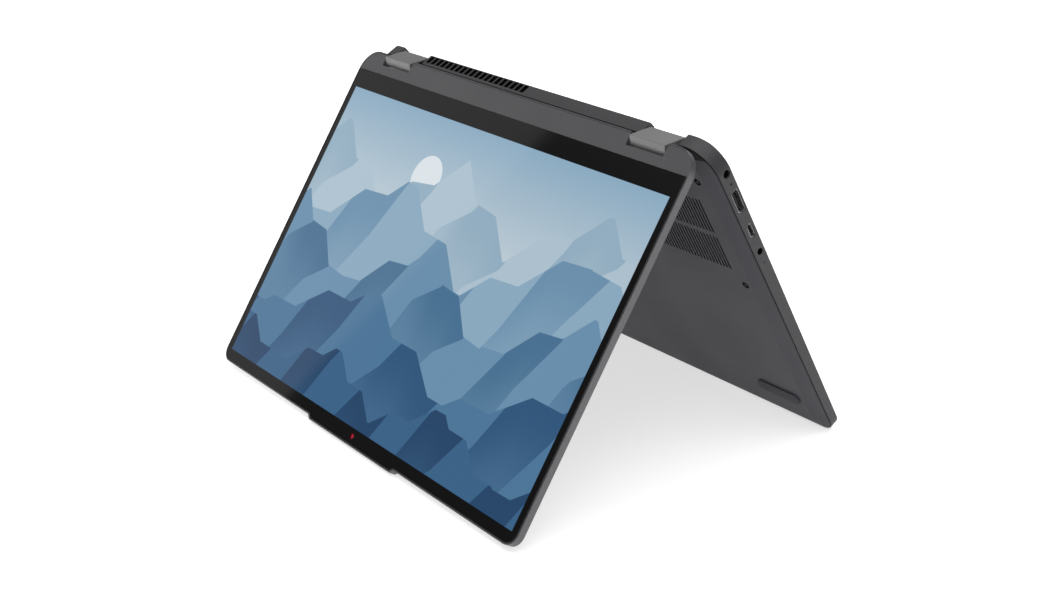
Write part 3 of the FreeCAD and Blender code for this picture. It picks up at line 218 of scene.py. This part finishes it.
def grained(name, code, rough, metal=0.0, grain=2600.0, depth=0.00003, strength=0.25, shine=0.5,
            blackened=None):
    """Fine-grained paint or plastic: small grain in the surface, slow drift in tone and gloss.

    Where the mask that blackened makes is 1, as inside slots, the surface is dull black: painted shade.
    """
    made = Nodes(name)
    colour = linear(code)
    fine = made.noise(grain, 2.0)
    slow = made.noise(DRIFT_SCALE, 4.0)
    tone = made.ramp(slow, [(0.3, shaded(colour, 1 - TONE_DRIFT)), (0.7, shaded(colour, 1 + TONE_DRIFT))])
    speck = made.mix(made.smooth(fine, 0.35, 0.75), tone, (*shaded(colour, SPECK_TONE), 1.0))
    gloss = made.ramp(slow, [(0.25, grey(rough * (1 - GLOSS_DRIFT))),
                             (0.75, grey(rough * (1 + GLOSS_DRIFT)))])
    if blackened:
        mask = blackened(made)
        speck = made.mix(mask, speck, PAINTED_SHADE_BLACK)
        gloss = made.mix(mask, gloss, FULLY_ROUGH)
    made.link(speck, made.shader.inputs["Base Color"])
    made.link(gloss, made.shader.inputs["Roughness"])
    made.shader.inputs["Metallic"].default_value = metal
    made.shader.inputs["Specular IOR Level"].default_value = shine
    made.bump(fine, strength, depth)
    return made.material


MASK_SOFT = 0.1


def within(made, value, low, high):
    """1 where a coordinate in metres lies between two limits in millimetres, 0 outside."""
    rise = made.smooth(value, low * MM, (low + MASK_SOFT) * MM)
    fall = made.smooth(value, high * MM, (high - MASK_SOFT) * MM)
    return made.math("MULTIPLY", rise, fall)


def box_mask(made, matrix, x, y, z, mirrored=False):
    """1 inside a box in a half's frame, and in its mirror image where mirrored is set."""
    across, along, up = made.split(made.local(matrix))
    if mirrored:
        across = made.math("ABSOLUTE", across)
    flat = made.math("MULTIPLY", within(made, across, *x), within(made, along, *y))
    return made.math("MULTIPLY", flat, within(made, up, *z))


# How deep the outer faces keep their paint, how far the black masks of painted shade reach, and how dark
# the painted shadow on the flank is
REAR_SKIN = 0.2
SIDE_SKIN = 0.05
COVER_SKIN = 0.12
MASK_MARGIN = 0.3
MASK_RISE = 0.1
SLOT_DEPTH = 5.8
HOLE_DEPTH = 4.0
HOLE_REACH = 0.7
FLANK_MARGIN = 1.0
FLANK_PAINTED_SHADE = 0.8


def case_painted_shade(made):
    """Mask of painted shade on the walls of the exhaust slots and of the reset hole, below the case's face.
    """
    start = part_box("hinge_cover_right")[1][0] / MM + EXHAUST_FROM_HINGE
    level = DECK - EXHAUST_DROP
    half_height = EXHAUST_HEIGHT / 2 + MASK_RISE
    slots = box_mask(made, BASE, (start - MASK_MARGIN, start + EXHAUST_SPAN + MASK_MARGIN),
                     (-BASE_BACK + REAR_SKIN, -BASE_BACK + SLOT_DEPTH),
                     (level - half_height, level + half_height))
    hole = box_mask(made, BASE, (BASE_HALF - HOLE_DEPTH, BASE_HALF - SIDE_SKIN),
                    (RESET_Y - HOLE_REACH, RESET_Y + HOLE_REACH),
                    (PORT_LEVEL - HOLE_REACH, PORT_LEVEL + HOLE_REACH))
    return made.math("MAXIMUM", slots, hole)


def cover_painted_shade(made):
    """Mask of painted shade on the walls of the intake slots, and of painted shadow on the flank that meets
    the lid at the rear.
    """
    slots = box_mask(made, COVER, VENT_X, VENT_Y, (-COVER_HEIGHT + COVER_SKIN, 0.0), mirrored=True)
    # Painted shadow: the rear flank goes most of the way to black, where the lid shades it
    flank = box_mask(made, COVER, (-BASE_HALF, BASE_HALF), (-FLANK_MARGIN, FLANK_REAR),
                     (-COVER_HEIGHT - FLANK_MARGIN, FLANK_MARGIN))
    return made.math("MAXIMUM", slots, made.math("MULTIPLY", flank, FLANK_PAINTED_SHADE))


BRUSH_STRETCH = (4.0, 900.0, 900.0)
BRUSH_TONES = (0.85, 1.1)
BRUSH_GLOSS = (0.8, 1.25)


def brushed(name, code, rough):
    """Bare metal with fine lines along x."""
    made = Nodes(name)
    colour = linear(code)
    mapping = made.node("ShaderNodeMapping")
    mapping.inputs["Scale"].default_value = BRUSH_STRETCH
    made.link(made.place(), mapping.inputs["Vector"])
    lines = made.noise(1.0, 3.0, mapping.outputs["Vector"])
    tones = [shaded(colour, factor) for factor in BRUSH_TONES]
    gloss = [grey(rough * factor) for factor in BRUSH_GLOSS]
    made.link(made.ramp(lines, [(0.3, tones[0]), (0.7, tones[1])]), made.shader.inputs["Base Color"])
    made.link(made.ramp(lines, [(0.3, gloss[0]), (0.7, gloss[1])]), made.shader.inputs["Roughness"])
    made.shader.inputs["Metallic"].default_value = 1.0
    made.bump(lines, 0.15, 0.00002)
    return made.material


TRACE_SCALE = 260.0


def board_material(name):
    """Circuit board: solder mask with a web of traces."""
    made = Nodes(name)
    cells = made.node("ShaderNodeTexVoronoi", feature="DISTANCE_TO_EDGE")
    cells.inputs["Scale"].default_value = TRACE_SCALE
    made.link(made.place(), cells.inputs["Vector"])
    trace = made.smooth(cells.outputs["Distance"], 0.02, 0.06)
    made.link(made.mix(trace, opaque("2f6b45"), opaque("123a24")), made.shader.inputs["Base Color"])
    made.shader.inputs["Roughness"].default_value = 0.42
    made.bump(trace, 0.2, 0.00003)
    return made.material


BORDER_BLACK = (0.0035, 0.0035, 0.0038, 1.0)
PANEL_BLACK = (0.004, 0.005, 0.006, 1.0)
PICTURE_LIGHT = 0.9
PICTURE_EDGE = 0.0004


def screen_material():
    """Black-bordered touch glass with a lit picture of mountain ridges, drawn in the lid's own frame."""
    made = Nodes("touch_glass")
    x, y, _ = made.split(made.local(LID))
    across = made.math("MULTIPLY", x, 1 / (ACTIVE_WIDTH * MM))
    down = made.math("MULTIPLY_ADD", y, 1 / (ACTIVE_HEIGHT * MM), -ACTIVE_REAR / ACTIVE_HEIGHT)
    picture = ridge_picture(made, across, down)
    side = made.math("ABSOLUTE", across)
    edge_down = PICTURE_EDGE * ACTIVE_WIDTH / ACTIVE_HEIGHT
    inside_x = made.smooth(side, 0.5, 0.5 - PICTURE_EDGE)
    inside_top = made.smooth(down, 0.0, edge_down)
    inside_bottom = made.smooth(down, 1.0, 1.0 - edge_down)
    lit = made.math("MULTIPLY", inside_x, made.math("MULTIPLY", inside_top, inside_bottom))
    smudge = made.noise(16.0, 5.0)
    made.link(made.mix(lit, BORDER_BLACK, PANEL_BLACK), made.shader.inputs["Base Color"])
    made.link(made.mix(lit, (0, 0, 0, 1), picture), made.shader.inputs["Emission Color"])
    made.shader.inputs["Emission Strength"].default_value = PICTURE_LIGHT
    made.link(made.ramp(smudge, [(0.3, grey(0.04)), (0.75, grey(0.075))]), made.shader.inputs["Roughness"])
    made.shader.inputs["IOR"].default_value = 1.5
    return made.material


# The sun, the mist and the ridges, in shares of the picture's height; turns are counted across its width.
SUN_ACROSS = -0.22
SUN_DOWN = 0.20
SUN_RADIUS = 0.075
SUN_EDGE = 0.004
MIST_DEPTHS = (0.02, 0.3)
MIST_SHARE = 0.55
FACET_LEAN = 0.35
FACET_EDGE = 0.003
RIDGE_EDGE = 0.0012
RIDGES = [
    # height, swing and turns of two zigzags, start, sunlit side, shaded side
    (0.30, 0.20, 2.3, 0.050, 7.1, 0.15, "b3c8d6", "98b4c8"),
    (0.45, 0.24, 1.7, 0.055, 6.3, 0.62, "8fafc6", "6f95b3"),
    (0.60, 0.22, 2.1, 0.045, 8.3, 0.05, "6d94b3", "4a7497"),
    (0.78, 0.20, 1.5, 0.050, 5.9, 0.40, "4f7a9e", "305880"),
    (0.93, 0.13, 2.6, 0.035, 9.1, 0.85, "3b658c", "24476c"),
]


def zigzag(made, value, turns, start):
    """A wave of straight slopes between 0 and 1."""
    return made.math("PINGPONG", made.math("MULTIPLY_ADD", value, 2 * turns, start), 1.0)


def ridge_picture(made, across, down):
    """Pale sky with a low sun over five mountain ridges, each with a sunlit and a shaded side."""
    sky = made.ramp(down, [(0.0, linear("8fb0c8")), (0.35, linear("c3d3dd")), (1.0, linear("c9d8e2"))])
    wide = made.math("MULTIPLY_ADD", across, ACTIVE_WIDTH / ACTIVE_HEIGHT, -SUN_ACROSS)
    tall = made.math("SUBTRACT", down, SUN_DOWN)
    square = made.math("ADD", made.math("MULTIPLY", wide, wide), made.math("MULTIPLY", tall, tall))
    reach = made.math("SQRT", square)
    picture = made.mix(made.smooth(reach, SUN_RADIUS, SUN_RADIUS - SUN_EDGE), sky, opaque("e3ebf0"))
    for height, swing, turns, small_swing, small_turns, start, sunlit, shaded_side in RIDGES:
        large = zigzag(made, across, turns, start)
        small = zigzag(made, across, small_turns, start * 3)
        teeth = made.math("MULTIPLY_ADD", small, small_swing, height - swing)
        line = made.math("MULTIPLY_ADD", large, swing, teeth)
        depth = made.math("SUBTRACT", down, line)
        leaning = made.math("MULTIPLY_ADD", depth, FACET_LEAN, across)
        facet = zigzag(made, leaning, small_turns / 2, start)
        side = made.smooth(facet, 0.5 - FACET_EDGE, 0.5 + FACET_EDGE)
        colour = made.mix(side, opaque(sunlit), opaque(shaded_side))
        mist = made.math("MULTIPLY", made.smooth(depth, *MIST_DEPTHS), MIST_SHARE)
        colour = made.mix(mist, colour, opaque(sunlit))
        picture = made.mix(made.smooth(depth, -RIDGE_EDGE, RIDGE_EDGE), picture, colour)
    return picture


# Mesh helpers

def finish_piece(name, mesh, matrix, body, material, replaced=()):
    """Puts a mesh drawn in millimetres in a half's frame into the row frame, on a body."""
    for vertex in mesh.verts:
        vertex.co = matrix @ (vertex.co * MM)
    bmesh.ops.recalc_face_normals(mesh, faces=mesh.faces[:])
    data = bpy.data.meshes.new(name)
    mesh.to_mesh(data)
    mesh.free()
    piece = bpy.data.objects.new(name, data)
    bpy.context.scene.collection.objects.link(piece)
    data.materials.append(material)
    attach(piece, body)
    if replaced:
        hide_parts(*replaced)
    return piece


CORNER_STEPS = 5
LEAST_RADIUS = 0.05
LEAST_STRAIGHT = 0.01


def rounded_loop(x0, x1, y0, y1, radius):
    """Points round a rectangle with rounded corners."""
    room = min(x1 - x0, y1 - y0) / 2 - LEAST_STRAIGHT
    radius = max(LEAST_RADIUS, min(radius, room))
    points = []
    corners = ((x1 - radius, y0 + radius, 270), (x1 - radius, y1 - radius, 0),
               (x0 + radius, y1 - radius, 90), (x0 + radius, y0 + radius, 180))
    for centre_x, centre_y, start in corners:
        for step in range(CORNER_STEPS + 1):
            angle = math.radians(start + 90 * step / CORNER_STEPS)
            points.append((centre_x + radius * math.cos(angle), centre_y + radius * math.sin(angle)))
    return points


def stacked_loops(mesh, loops):
    """Skins a stack of loops of equal count, given as (points, z), and closes both ends."""
    rings = [[mesh.verts.new((x, y, z)) for x, y in points] for points, z in loops]
    for low, high in zip(rings, rings[1:]):
        count = len(low)
        for index in range(count):
            follower = (index + 1) % count
            mesh.faces.new((low[index], low[follower], high[follower], high[index]))
    mesh.faces.new(rings[0][::-1])
    mesh.faces.new(rings[-1])


def brick(mesh, x, y, z, bevel=0.0):
    """A box between limits, with its edges bevelled where a bevel is given."""
    made = bmesh.ops.create_cube(mesh, size=1.0)["verts"]
    for vertex in made:
        vertex.co = Vector((
            (x[0] + x[1]) / 2 + vertex.co.x * (x[1] - x[0]),
            (y[0] + y[1]) / 2 + vertex.co.y * (y[1] - y[0]),
            (z[0] + z[1]) / 2 + vertex.co.z * (z[1] - z[0]),
        ))
    if bevel:
        edges = list({edge for vertex in made for edge in vertex.link_edges})
        bmesh.ops.bevel(mesh, geom=edges, offset=bevel, segments=2, affect="EDGES")


# Keys

KEY_PITCH = 18.0
ROW_PITCH = 18.2
FUNCTION_PITCH = 11.9
KEY_GAP = 2.6
KEYS_REAR = 25.3
KEY_TOP = DECK - 0.15
KEY_HEIGHT = 2.2
ROW_UNITS = 15
KEY_FIELD = ROW_UNITS * KEY_PITCH
BOTTOM_ROW = 5
SPACE_UNITS = 5.25
SPACE_START = 4.5
ARROW_START = 12
ARROW_GAP = 0.8

# Row number, start in key units, then the width in units and the legend of each key.
# A width of None leaves room for the space bar.
KEY_ROWS = {
    "keys_function_row": (0, 0.0, [(1, text) for text in (
        "esc", "F1", "F2", "F3", "F4", "F5", "F6", "F7", "F8", "F9", "F10", "F11", "F12", "ins", "del")]),
    "keys_number_row": (1, 0.0, [(1, text) for text in (
        "~\n`", "!\n1", "@\n2", "#\n3", "$\n4", "%\n5", "^\n6", "&\n7", "*\n8", "(\n9", ")\n0",
        "_\n-", "+\n=")] + [(2, "backspace")]),
    "keys_upper_row": (2, 0.0, [(1.5, "tab")] + [(1, letter) for letter in "QWERTYUIOP"]
                       + [(1, "{\n["), (1, "}\n]"), (1.5, "|\n\\")]),
    "keys_home_row": (3, 0.0, [(1.75, "caps lock")] + [(1, letter) for letter in "ASDFGHJKL"]
                      + [(1, ":\n;"), (1, "\"\n'"), (2.25, "enter")]),
    "keys_lower_row": (4, 0.0, [(2.25, "shift")] + [(1, letter) for letter in "ZXCVBNM"]
                       + [(1, "<\n,"), (1, ">\n."), (1, "?\n/"), (2.75, "shift")]),
    "keys_bottom_row": (BOTTOM_ROW, 0.0, [(1.25, "ctrl"), (1, "fn"), (1, "menu"), (1.25, "alt"), (None, ""),
                                          (1, "alt"), (1.25, "ctrl")]),
    "space_bar": (BOTTOM_ROW, SPACE_START, [(SPACE_UNITS, "")]),
}


def row_limits(row):
    """Rear and front limits of a row of keys; the function row is shallower."""
    if row == 0:
        return KEYS_REAR, KEYS_REAR + FUNCTION_PITCH
    low = KEYS_REAR + FUNCTION_PITCH + (row - 1) * ROW_PITCH
    return low, low + ROW_PITCH


def key_cells():
    """Cell limits and legend of every key, by node."""
    cells = {}
    for label, (row, start, keys) in KEY_ROWS.items():
        low, high = row_limits(row)
        place = start
        cells[label] = []
        for width, text in keys:
            if width is None:
                place += SPACE_UNITS
                continue
            right = KEY_FIELD / 2 - (place + width) * KEY_PITCH
            left = KEY_FIELD / 2 - place * KEY_PITCH
            cells[label].append((right, left, low, high, text))
            place += width
    # Arrow keys are about half as long as others, with a narrow gap between up and down.
    low, high = row_limits(BOTTOM_ROW)
    middle = (low + high) / 2
    upper = middle + KEY_GAP / 2 - ARROW_GAP / 2
    lower = middle - KEY_GAP / 2 + ARROW_GAP / 2
    edges = [KEY_FIELD / 2 - (ARROW_START + index) * KEY_PITCH for index in range(4)]
    columns = list(zip(edges[1:], edges))
    cells["arrow_keys"] = [
        (*columns[0], lower, high, "left"),
        (*columns[1], low, upper, "up"),
        (*columns[1], lower, high, "down"),
        (*columns[2], lower, high, "right"),
    ]
    return cells


# Inset, height over the top and corner radius of each loop round a cap
CAP_LEVELS = ((0.0, -KEY_HEIGHT, 1.3), (0.12, -0.45, 1.3), (0.3, -0.12, 1.2), (0.62, 0.0, 1.0),
              (1.8, -0.05, 0.9), (3.2, -0.1, 0.7))


def key_cap(mesh, cell):
    """A rounded cap, a little narrower at the top, with a shallow dish."""
    right, left, low, high, _ = cell
    half = KEY_GAP / 2
    x0, x1, y0, y1 = right + half, left - half, low + half, high - half
    loops = []
    for inset, rise, radius in CAP_LEVELS:
        loops.append((rounded_loop(x0 + inset, x1 - inset, y0 + inset, y1 - inset, radius), KEY_TOP + rise))
    stacked_loops(mesh, loops)


# The turn of each arrow, the heights of the marks on a cap, and the sizes of type
ARROWS = {"left": 90, "up": 180, "right": 270, "down": 0}
ARROW_RADIUS = 1.5
ARROW_LEVELS = (KEY_TOP - 0.11, KEY_TOP - 0.02)
LEGEND_LEVEL = KEY_TOP - 0.06
LEGEND_RISE = 0.03
LETTER_SIZE = 5.2
PAIR_SIZE = 4.2
WORD_SIZE = 3.2


def arrow_mark(mesh, x, y, turn):
    """A small triangle that points along the turn, on the cap's top."""
    points = []
    for angle in (90, 210, 330):
        spot = math.radians(angle + turn)
        points.append((x - ARROW_RADIUS * math.cos(spot), y + ARROW_RADIUS * math.sin(spot)))
    low, high = [[mesh.verts.new((px, py, level)) for px, py in points] for level in ARROW_LEVELS]
    mesh.faces.new(high)
    mesh.faces.new(low[::-1])
    for index in range(3):
        follower = (index + 1) % 3
        mesh.faces.new((low[index], low[follower], high[follower], high[index]))


def text_mesh(text, size):
    """Flat raised lettering in millimetres, centred on the origin."""
    curve = bpy.data.curves.new("legend", "FONT")
    curve.body = text
    curve.size = size
    curve.align_x = "CENTER"
    curve.align_y = "CENTER"
    curve.extrude = LEGEND_RISE
    curve.resolution_u = 3
    curve.space_line = 0.95
    carrier = bpy.data.objects.new("legend", curve)
    bpy.context.scene.collection.objects.link(carrier)
    bpy.context.view_layer.update()
    data = bpy.data.meshes.new_from_object(carrier.evaluated_get(bpy.context.evaluated_depsgraph_get()))
    bpy.data.objects.remove(carrier)
    return data


def legend_size(text):
    """Height of the type for a letter, a pair of signs or a word."""
    if len(text) == 1:
        return LETTER_SIZE
    if "\n" in text:
        return PAIR_SIZE
    return WORD_SIZE


def add_legend(mesh, cell):
    """The legend in the middle of a key, read from the front edge."""
    right, left, low, high, text = cell
    x, y = (right + left) / 2, (low + high) / 2
    if text in ARROWS:
        arrow_mark(mesh, x, y, ARROWS[text])
        return
    data = text_mesh(text, legend_size(text))
    before = len(mesh.verts)
    mesh.from_mesh(data)
    mesh.verts.ensure_lookup_table()
    for vertex in mesh.verts[before:]:
        vertex.co = Vector((x - vertex.co.x, y - vertex.co.y, LEGEND_LEVEL + vertex.co.z))
    bpy.data.meshes.remove(data)


CAP_SHARP = math.radians(50)


def build_keys(cap_material, legend_material):
    """Caps in place of each node of plain keys, and their legends."""
    for label, cells in key_cells().items():
        caps = bmesh.new()
        for cell in cells:
            key_cap(caps, cell)
        piece = finish_piece("caps_" + label, caps, BASE, label, cap_material, (label,))
        for face in piece.data.polygons:
            face.use_smooth = True
        piece.data.set_sharp_from_angle(angle=CAP_SHARP)
        marked = [cell for cell in cells if cell[4]]
        if marked:
            legends = bmesh.new()
            for cell in marked:
                add_legend(legends, cell)
            finish_piece("legends_" + label, legends, BASE, label, legend_material)


# Small parts on the base

SOCKETS = [
    # side, place along it, tongue's width, thickness, depth and lift, number of contacts and their width
    (1, 34.8, 10.8, 1.0, 11.0, 0.0, 10, 0.5),
    (1, 56.0, 6.7, 0.7, 9.0, 0.0, 12, 0.28),
    (-1, 58.0, 11.1, 1.8, 13.0, 0.9, 4, 1.0),
    (-1, 76.0, 11.1, 1.8, 13.0, 0.9, 4, 1.0),
]
TONGUE_SET_BACK = 1.9
TONGUE_ROOT = 0.4
TONGUE_SKIN = 0.06
CONTACT_SPREAD = 0.86
CONTACT_ROOT = 1.0
CONTACT_SET_BACK = 0.5
CONTACT_LEVELS = (-0.1, -0.02)


def build_contacts(black, gold):
    """Insulators over the sockets' tongues, and their rows of contacts."""
    tongues = bmesh.new()
    pins = bmesh.new()
    for side, y, width, thick, depth, lift, count, pin_width in SOCKETS:
        inner, outer = BASE_HALF - depth + TONGUE_ROOT, BASE_HALF - TONGUE_SET_BACK
        x = sorted((side * inner, side * outer))
        pin_x = sorted((side * (inner + CONTACT_ROOT), side * (outer - CONTACT_SET_BACK)))
        level = PORT_LEVEL + lift
        underside = level - thick / 2
        brick(tongues, x, (y - width / 2 - TONGUE_SKIN, y + width / 2 + TONGUE_SKIN),
              (underside - TONGUE_SKIN, level + thick / 2 + TONGUE_SKIN), 2 * TONGUE_SKIN)
        pitch = width * CONTACT_SPREAD / count
        for index in range(count):
            middle = y + (index - (count - 1) / 2) * pitch
            brick(pins, pin_x, (middle - pin_width / 2, middle + pin_width / 2),
                  [underside + step for step in CONTACT_LEVELS])
    finish_piece("socket_insulators", tongues, BASE, "base", black)
    finish_piece("socket_contacts", pins, BASE, "base", gold)


SCREW_X = 139.5
SCREW_Y = (20.0, 98.0)
DRIVE_RADIUS = 1.0
DRIVE_WAVE = 0.18
DRIVE_LOBES = 6
DRIVE_STEPS = 36
DRIVE_DEPTH = 0.2
DRIVE_PROUD = 0.015


def build_screw_drives(material):
    """A black six-lobed drive mark on every cover screw."""
    mesh = bmesh.new()
    spots = [(side * SCREW_X, y + BASE_BACK) for side in (1, -1) for y in SCREW_Y]
    for x, y in spots:
        points = []
        for step in range(DRIVE_STEPS):
            angle = 2 * math.pi * step / DRIVE_STEPS
            radius = DRIVE_RADIUS + DRIVE_WAVE * math.cos(DRIVE_LOBES * angle)
            points.append((x + radius * math.cos(angle), y + radius * math.sin(angle)))
        stacked_loops(mesh, [(points, -COVER_HEIGHT - DRIVE_PROUD), (points, -COVER_HEIGHT + DRIVE_DEPTH)])
    finish_piece("screw_drives", mesh, COVER, "base", material)


MESH_LEVELS = (-COVER_HEIGHT + 1.02, -COVER_HEIGHT + 1.12)


def build_dust_mesh(material):
    """Fine black mesh behind the two fields of intake slots, for a dust filter; its near-black with no
    shine is painted shade that makes the slots read deep black.
    """
    mesh = bmesh.new()
    for x in (VENT_X, (-VENT_X[1], -VENT_X[0])):
        for y in VENT_ROWS:
            brick(mesh, x, y, MESH_LEVELS)
    finish_piece("dust_mesh", mesh, COVER, "base", material)


# Materials on the CAD nodes

def assign(material, *names):
    """Gives nodes one material in place of what they came with."""
    for name in names:
        data = nodes[name].data
        data.materials.clear()
        data.materials.append(material)


# The base's grey is the lid's paint made darker: painted shade for the base's walls, which lie in shade
BASE_SHADED_PAINT = {"code": "454547", "rough": 0.46, "metal": 0.15, "grain": 3200.0, "shine": 0.35}
base_paint = grained("base_paint", **BASE_SHADED_PAINT)
# The case's paint also carries painted shade in the exhaust slots and the reset hole
case_paint = grained("case_paint", blackened=case_painted_shade, **BASE_SHADED_PAINT)
lid_paint = grained("lid_paint", "646466", 0.38, metal=0.4, grain=3200.0)
strip_paint = grained("strip_paint", "5a5a5c", 0.42, metal=0.2, grain=3200.0)
# The cover's plastic carries painted shade in the intake slots and painted shadow on its rear flank
cover = grained("cover_plastic", "4b4a50", 0.55, grain=2400.0, depth=0.00004, shine=0.4,
                blackened=cover_painted_shade)
hinge_paint = grained("hinge_paint", "808081", 0.4, metal=0.25, grain=3600.0)
keycap = grained("key_plastic", "2e2e31", 0.5, grain=2200.0)
touch = grained("touch_surface", "4c4c4f", 0.33, grain=4200.0, strength=0.12)
rubber = grained("rubber", "232325", 0.72, grain=1500.0, depth=0.00006, strength=0.4)
foot_rubber = grained("foot_rubber", "4d4c52", 0.7, grain=1500.0, depth=0.00006, strength=0.4, shine=0.3)
black = grained("moulded_black", "131314", 0.5, grain=2000.0, shine=0.3)
wrap = grained("cell_wrap", "2a2a2c", 0.55, grain=900.0)
legend = grained("legend_ink", "d8d8da", 0.5, grain=3000.0)
lens = grained("light_guide", "090a09", 0.4, grain=800.0, shine=0.1)
signal = grained("shutter_red", "f02a4c", 0.4, grain=2500.0)
# Near-black with no shine: painted shade behind the intake slots
mesh_black = grained("dust_mesh_painted_shade", "040405", 0.9, grain=6000.0, depth=0.00008, strength=0.6, shine=0.0)
steel = brushed("stamped_steel", "b9babc", 0.3)
dark_steel = brushed("plated_steel", "2c2c2e", 0.5)
camera_black = grained("camera_black", "08080a", 0.12, grain=3000.0, strength=0.05)
socket_steel = grained("socket_steel", "a8a8aa", 0.26, metal=0.8, grain=3000.0)
screw_black = grained("screw_black", "0c0c0d", 0.6, grain=2500.0, shine=0.0)
copper = brushed("copper_sheet", "b4754f", 0.32)
gold = brushed("contact_gold", "d3a650", 0.25)
board = board_material("solder_mask")
glass = screen_material()

assign(case_paint, "top_case")
assign(base_paint, "keyboard_frame", "power_button")
assign(lid_paint, "lid_back_cover")
assign(strip_paint, "hinge_strip")
assign(cover, "bottom_cover")
assign(hinge_paint, "hinge_cover_left", "hinge_cover_right")
assign(touch, "touchpad")
assign(rubber, "screen_gasket")
assign(foot_rubber, "front_feet", "rear_foot")
assign(black, "audio_jack", "dc_jack", "fan_housing", "fan_rotor", "speaker_left", "speaker_right",
       "heat_sink_fins")
assign(wrap, "battery", "display_panel")
assign(lens, "charge_light")
assign(signal, "camera_shutter")
assign(screw_black, "bottom_screws")
assign(socket_steel, "hdmi_socket", "usb_c_socket", "usb_a_sockets", "card_reader")
assign(steel, "keyboard_plate", "touchpad_bracket")
assign(dark_steel, "base_hinge_left", "base_hinge_right", "hinge_link_left", "hinge_link_right",
       "lid_hinge_left", "lid_hinge_right")
assign(copper, "heat_pipe")
assign(camera_black, "camera_board")
assign(board, "motherboard", "ssd_module", "wifi_card", "io_board")
assign(glass, "display_glass")

build_keys(keycap, legend)
build_contacts(black, gold)
build_screw_drives(black)
build_dust_mesh(mesh_black)


# Floor, light and camera

FLOOR_HALF = 40.0
FLOOR_GLOW = 0.63


def add_floor():
    """A pale floor with a glow that the camera and reflections see, and that lights nothing else."""
    data = bpy.data.meshes.new("floor")
    corners = [(x * FLOOR_HALF, y * FLOOR_HALF, 0) for x, y in ((-1, -1), (1, -1), (1, 1), (-1, 1))]
    data.from_pydata(corners, [], [(0, 1, 2, 3)])
    floor = bpy.data.objects.new("floor", data)
    bpy.context.scene.collection.objects.link(floor)
    made = Nodes("floor_paper")
    made.link(made.ramp(made.noise(6.0), [(0.3, grey(0.88)), (0.7, grey(0.92))]),
              made.shader.inputs["Base Color"])
    made.shader.inputs["Roughness"].default_value = 0.9
    made.shader.inputs["Specular IOR Level"].default_value = 0.1
    made.shader.inputs["Emission Color"].default_value = (1, 1, 1, 1)
    path = made.node("ShaderNodeLightPath").outputs
    direct = made.math("MAXIMUM", path["Is Camera Ray"], path["Is Glossy Ray"])
    seen = made.math("MAXIMUM", direct, path["Is Transmission Ray"])
    made.link(made.math("MULTIPLY", seen, FLOOR_GLOW), made.shader.inputs["Emission Strength"])
    data.materials.append(made.material)


UPRIGHT = (0, 0, 1)
LIGHTS = [
    # name, place and target, width and height, power, direction of an edge, in metres and watts
    ("overhead", (0.2, -0.2, 2.4), (0, 0, 0), (3.2, 3.2), 34, (0, 1, 0)),
    ("front", (1.6, -1.8, 1.3), (0, 0, 0.1), (1.4, 1.4), 3, UPRIGHT),
    ("side", (1.9, -0.8, 0.14), (0, 0.05, 0.08), (1.0, 0.24), 4, UPRIGHT),
    ("far_side", (-2.0, -0.7, 0.14), (0, 0.04, 0.07), (1.0, 0.24), 5, UPRIGHT),
    ("rear", (-0.9, 2.2, 1.5), (0, 0.05, 0.1), (1.6, 1.2), 18, UPRIGHT),
    ("gloss", (-1.593, -0.448, 0.549), (-0.816, 0.089, 0.22), (1.12, 1.7), 2.2, (-0.197, -0.289, -0.937)),
]


def add_light(name, place, target, size, power, edge):
    """A soft rectangular light that faces a target, with one side along an edge direction."""
    light = bpy.data.lights.new(name, "AREA")
    light.shape = "RECTANGLE"
    light.size, light.size_y = size
    light.energy = power
    made = bpy.data.objects.new(name, light)
    back = (Vector(place) - Vector(target)).normalized()
    side = Vector(edge).cross(back).normalized()
    turn = Matrix((side, back.cross(side), back)).transposed()
    made.matrix_world = Matrix.Translation(place) @ turn.to_4x4()
    made.visible_camera = False
    bpy.context.scene.collection.objects.link(made)


# Height on the unit sphere and brightness there
WORLD_LEVELS = ((0.42, 0.1), (0.8, 0.6))


def add_world():
    """A dim studio, brighter overhead than at the sides."""
    world = bpy.data.worlds.new("studio")
    world.use_nodes = True
    tree = world.node_tree
    place = tree.nodes.new("ShaderNodeTexCoord")
    parts = tree.nodes.new("ShaderNodeSeparateXYZ")
    ramp = tree.nodes.new("ShaderNodeValToRGB")
    tree.links.new(place.outputs["Generated"], parts.inputs[0])
    tree.links.new(parts.outputs[2], ramp.inputs["Fac"])
    tree.links.new(ramp.outputs["Color"], tree.nodes["Background"].inputs["Color"])
    for element, (height, level) in zip(ramp.color_ramp.elements, WORLD_LEVELS):
        element.position = height
        element.color = (*grey(level), 1)
    tree.nodes["Background"].inputs["Strength"].default_value = 1.0
    bpy.context.scene.world = world


# The camera's place, in metres from the middle of the lit area's rear edge, and its turns in degrees
SENSOR = 36.0
LENS = 54.2
CAMERA_FROM_SCREEN = (0.722977, -0.530849, 0.244406)
CAMERA_ELEVATION = 21.085
CAMERA_AZIMUTH = 52.385


def add_camera():
    """The photograph's view, found from the corners of the lit area."""
    data = bpy.data.cameras.new("camera")
    data.sensor_width = SENSOR
    data.lens = LENS
    made = bpy.data.objects.new("camera", data)
    screen_edge = LID @ (Vector((0, ACTIVE_REAR, -SCREEN_DROP)) * MM)
    made.location = screen_edge + Vector(CAMERA_FROM_SCREEN)
    made.rotation_euler = (math.radians(90 - CAMERA_ELEVATION), 0, math.radians(CAMERA_AZIMUTH))
    bpy.context.scene.collection.objects.link(made)
    bpy.context.scene.camera = made


add_floor()
add_world()
for light_settings in LIGHTS:
    add_light(*light_settings)
add_camera()
bpy.context.scene.view_settings.view_transform = "Standard"
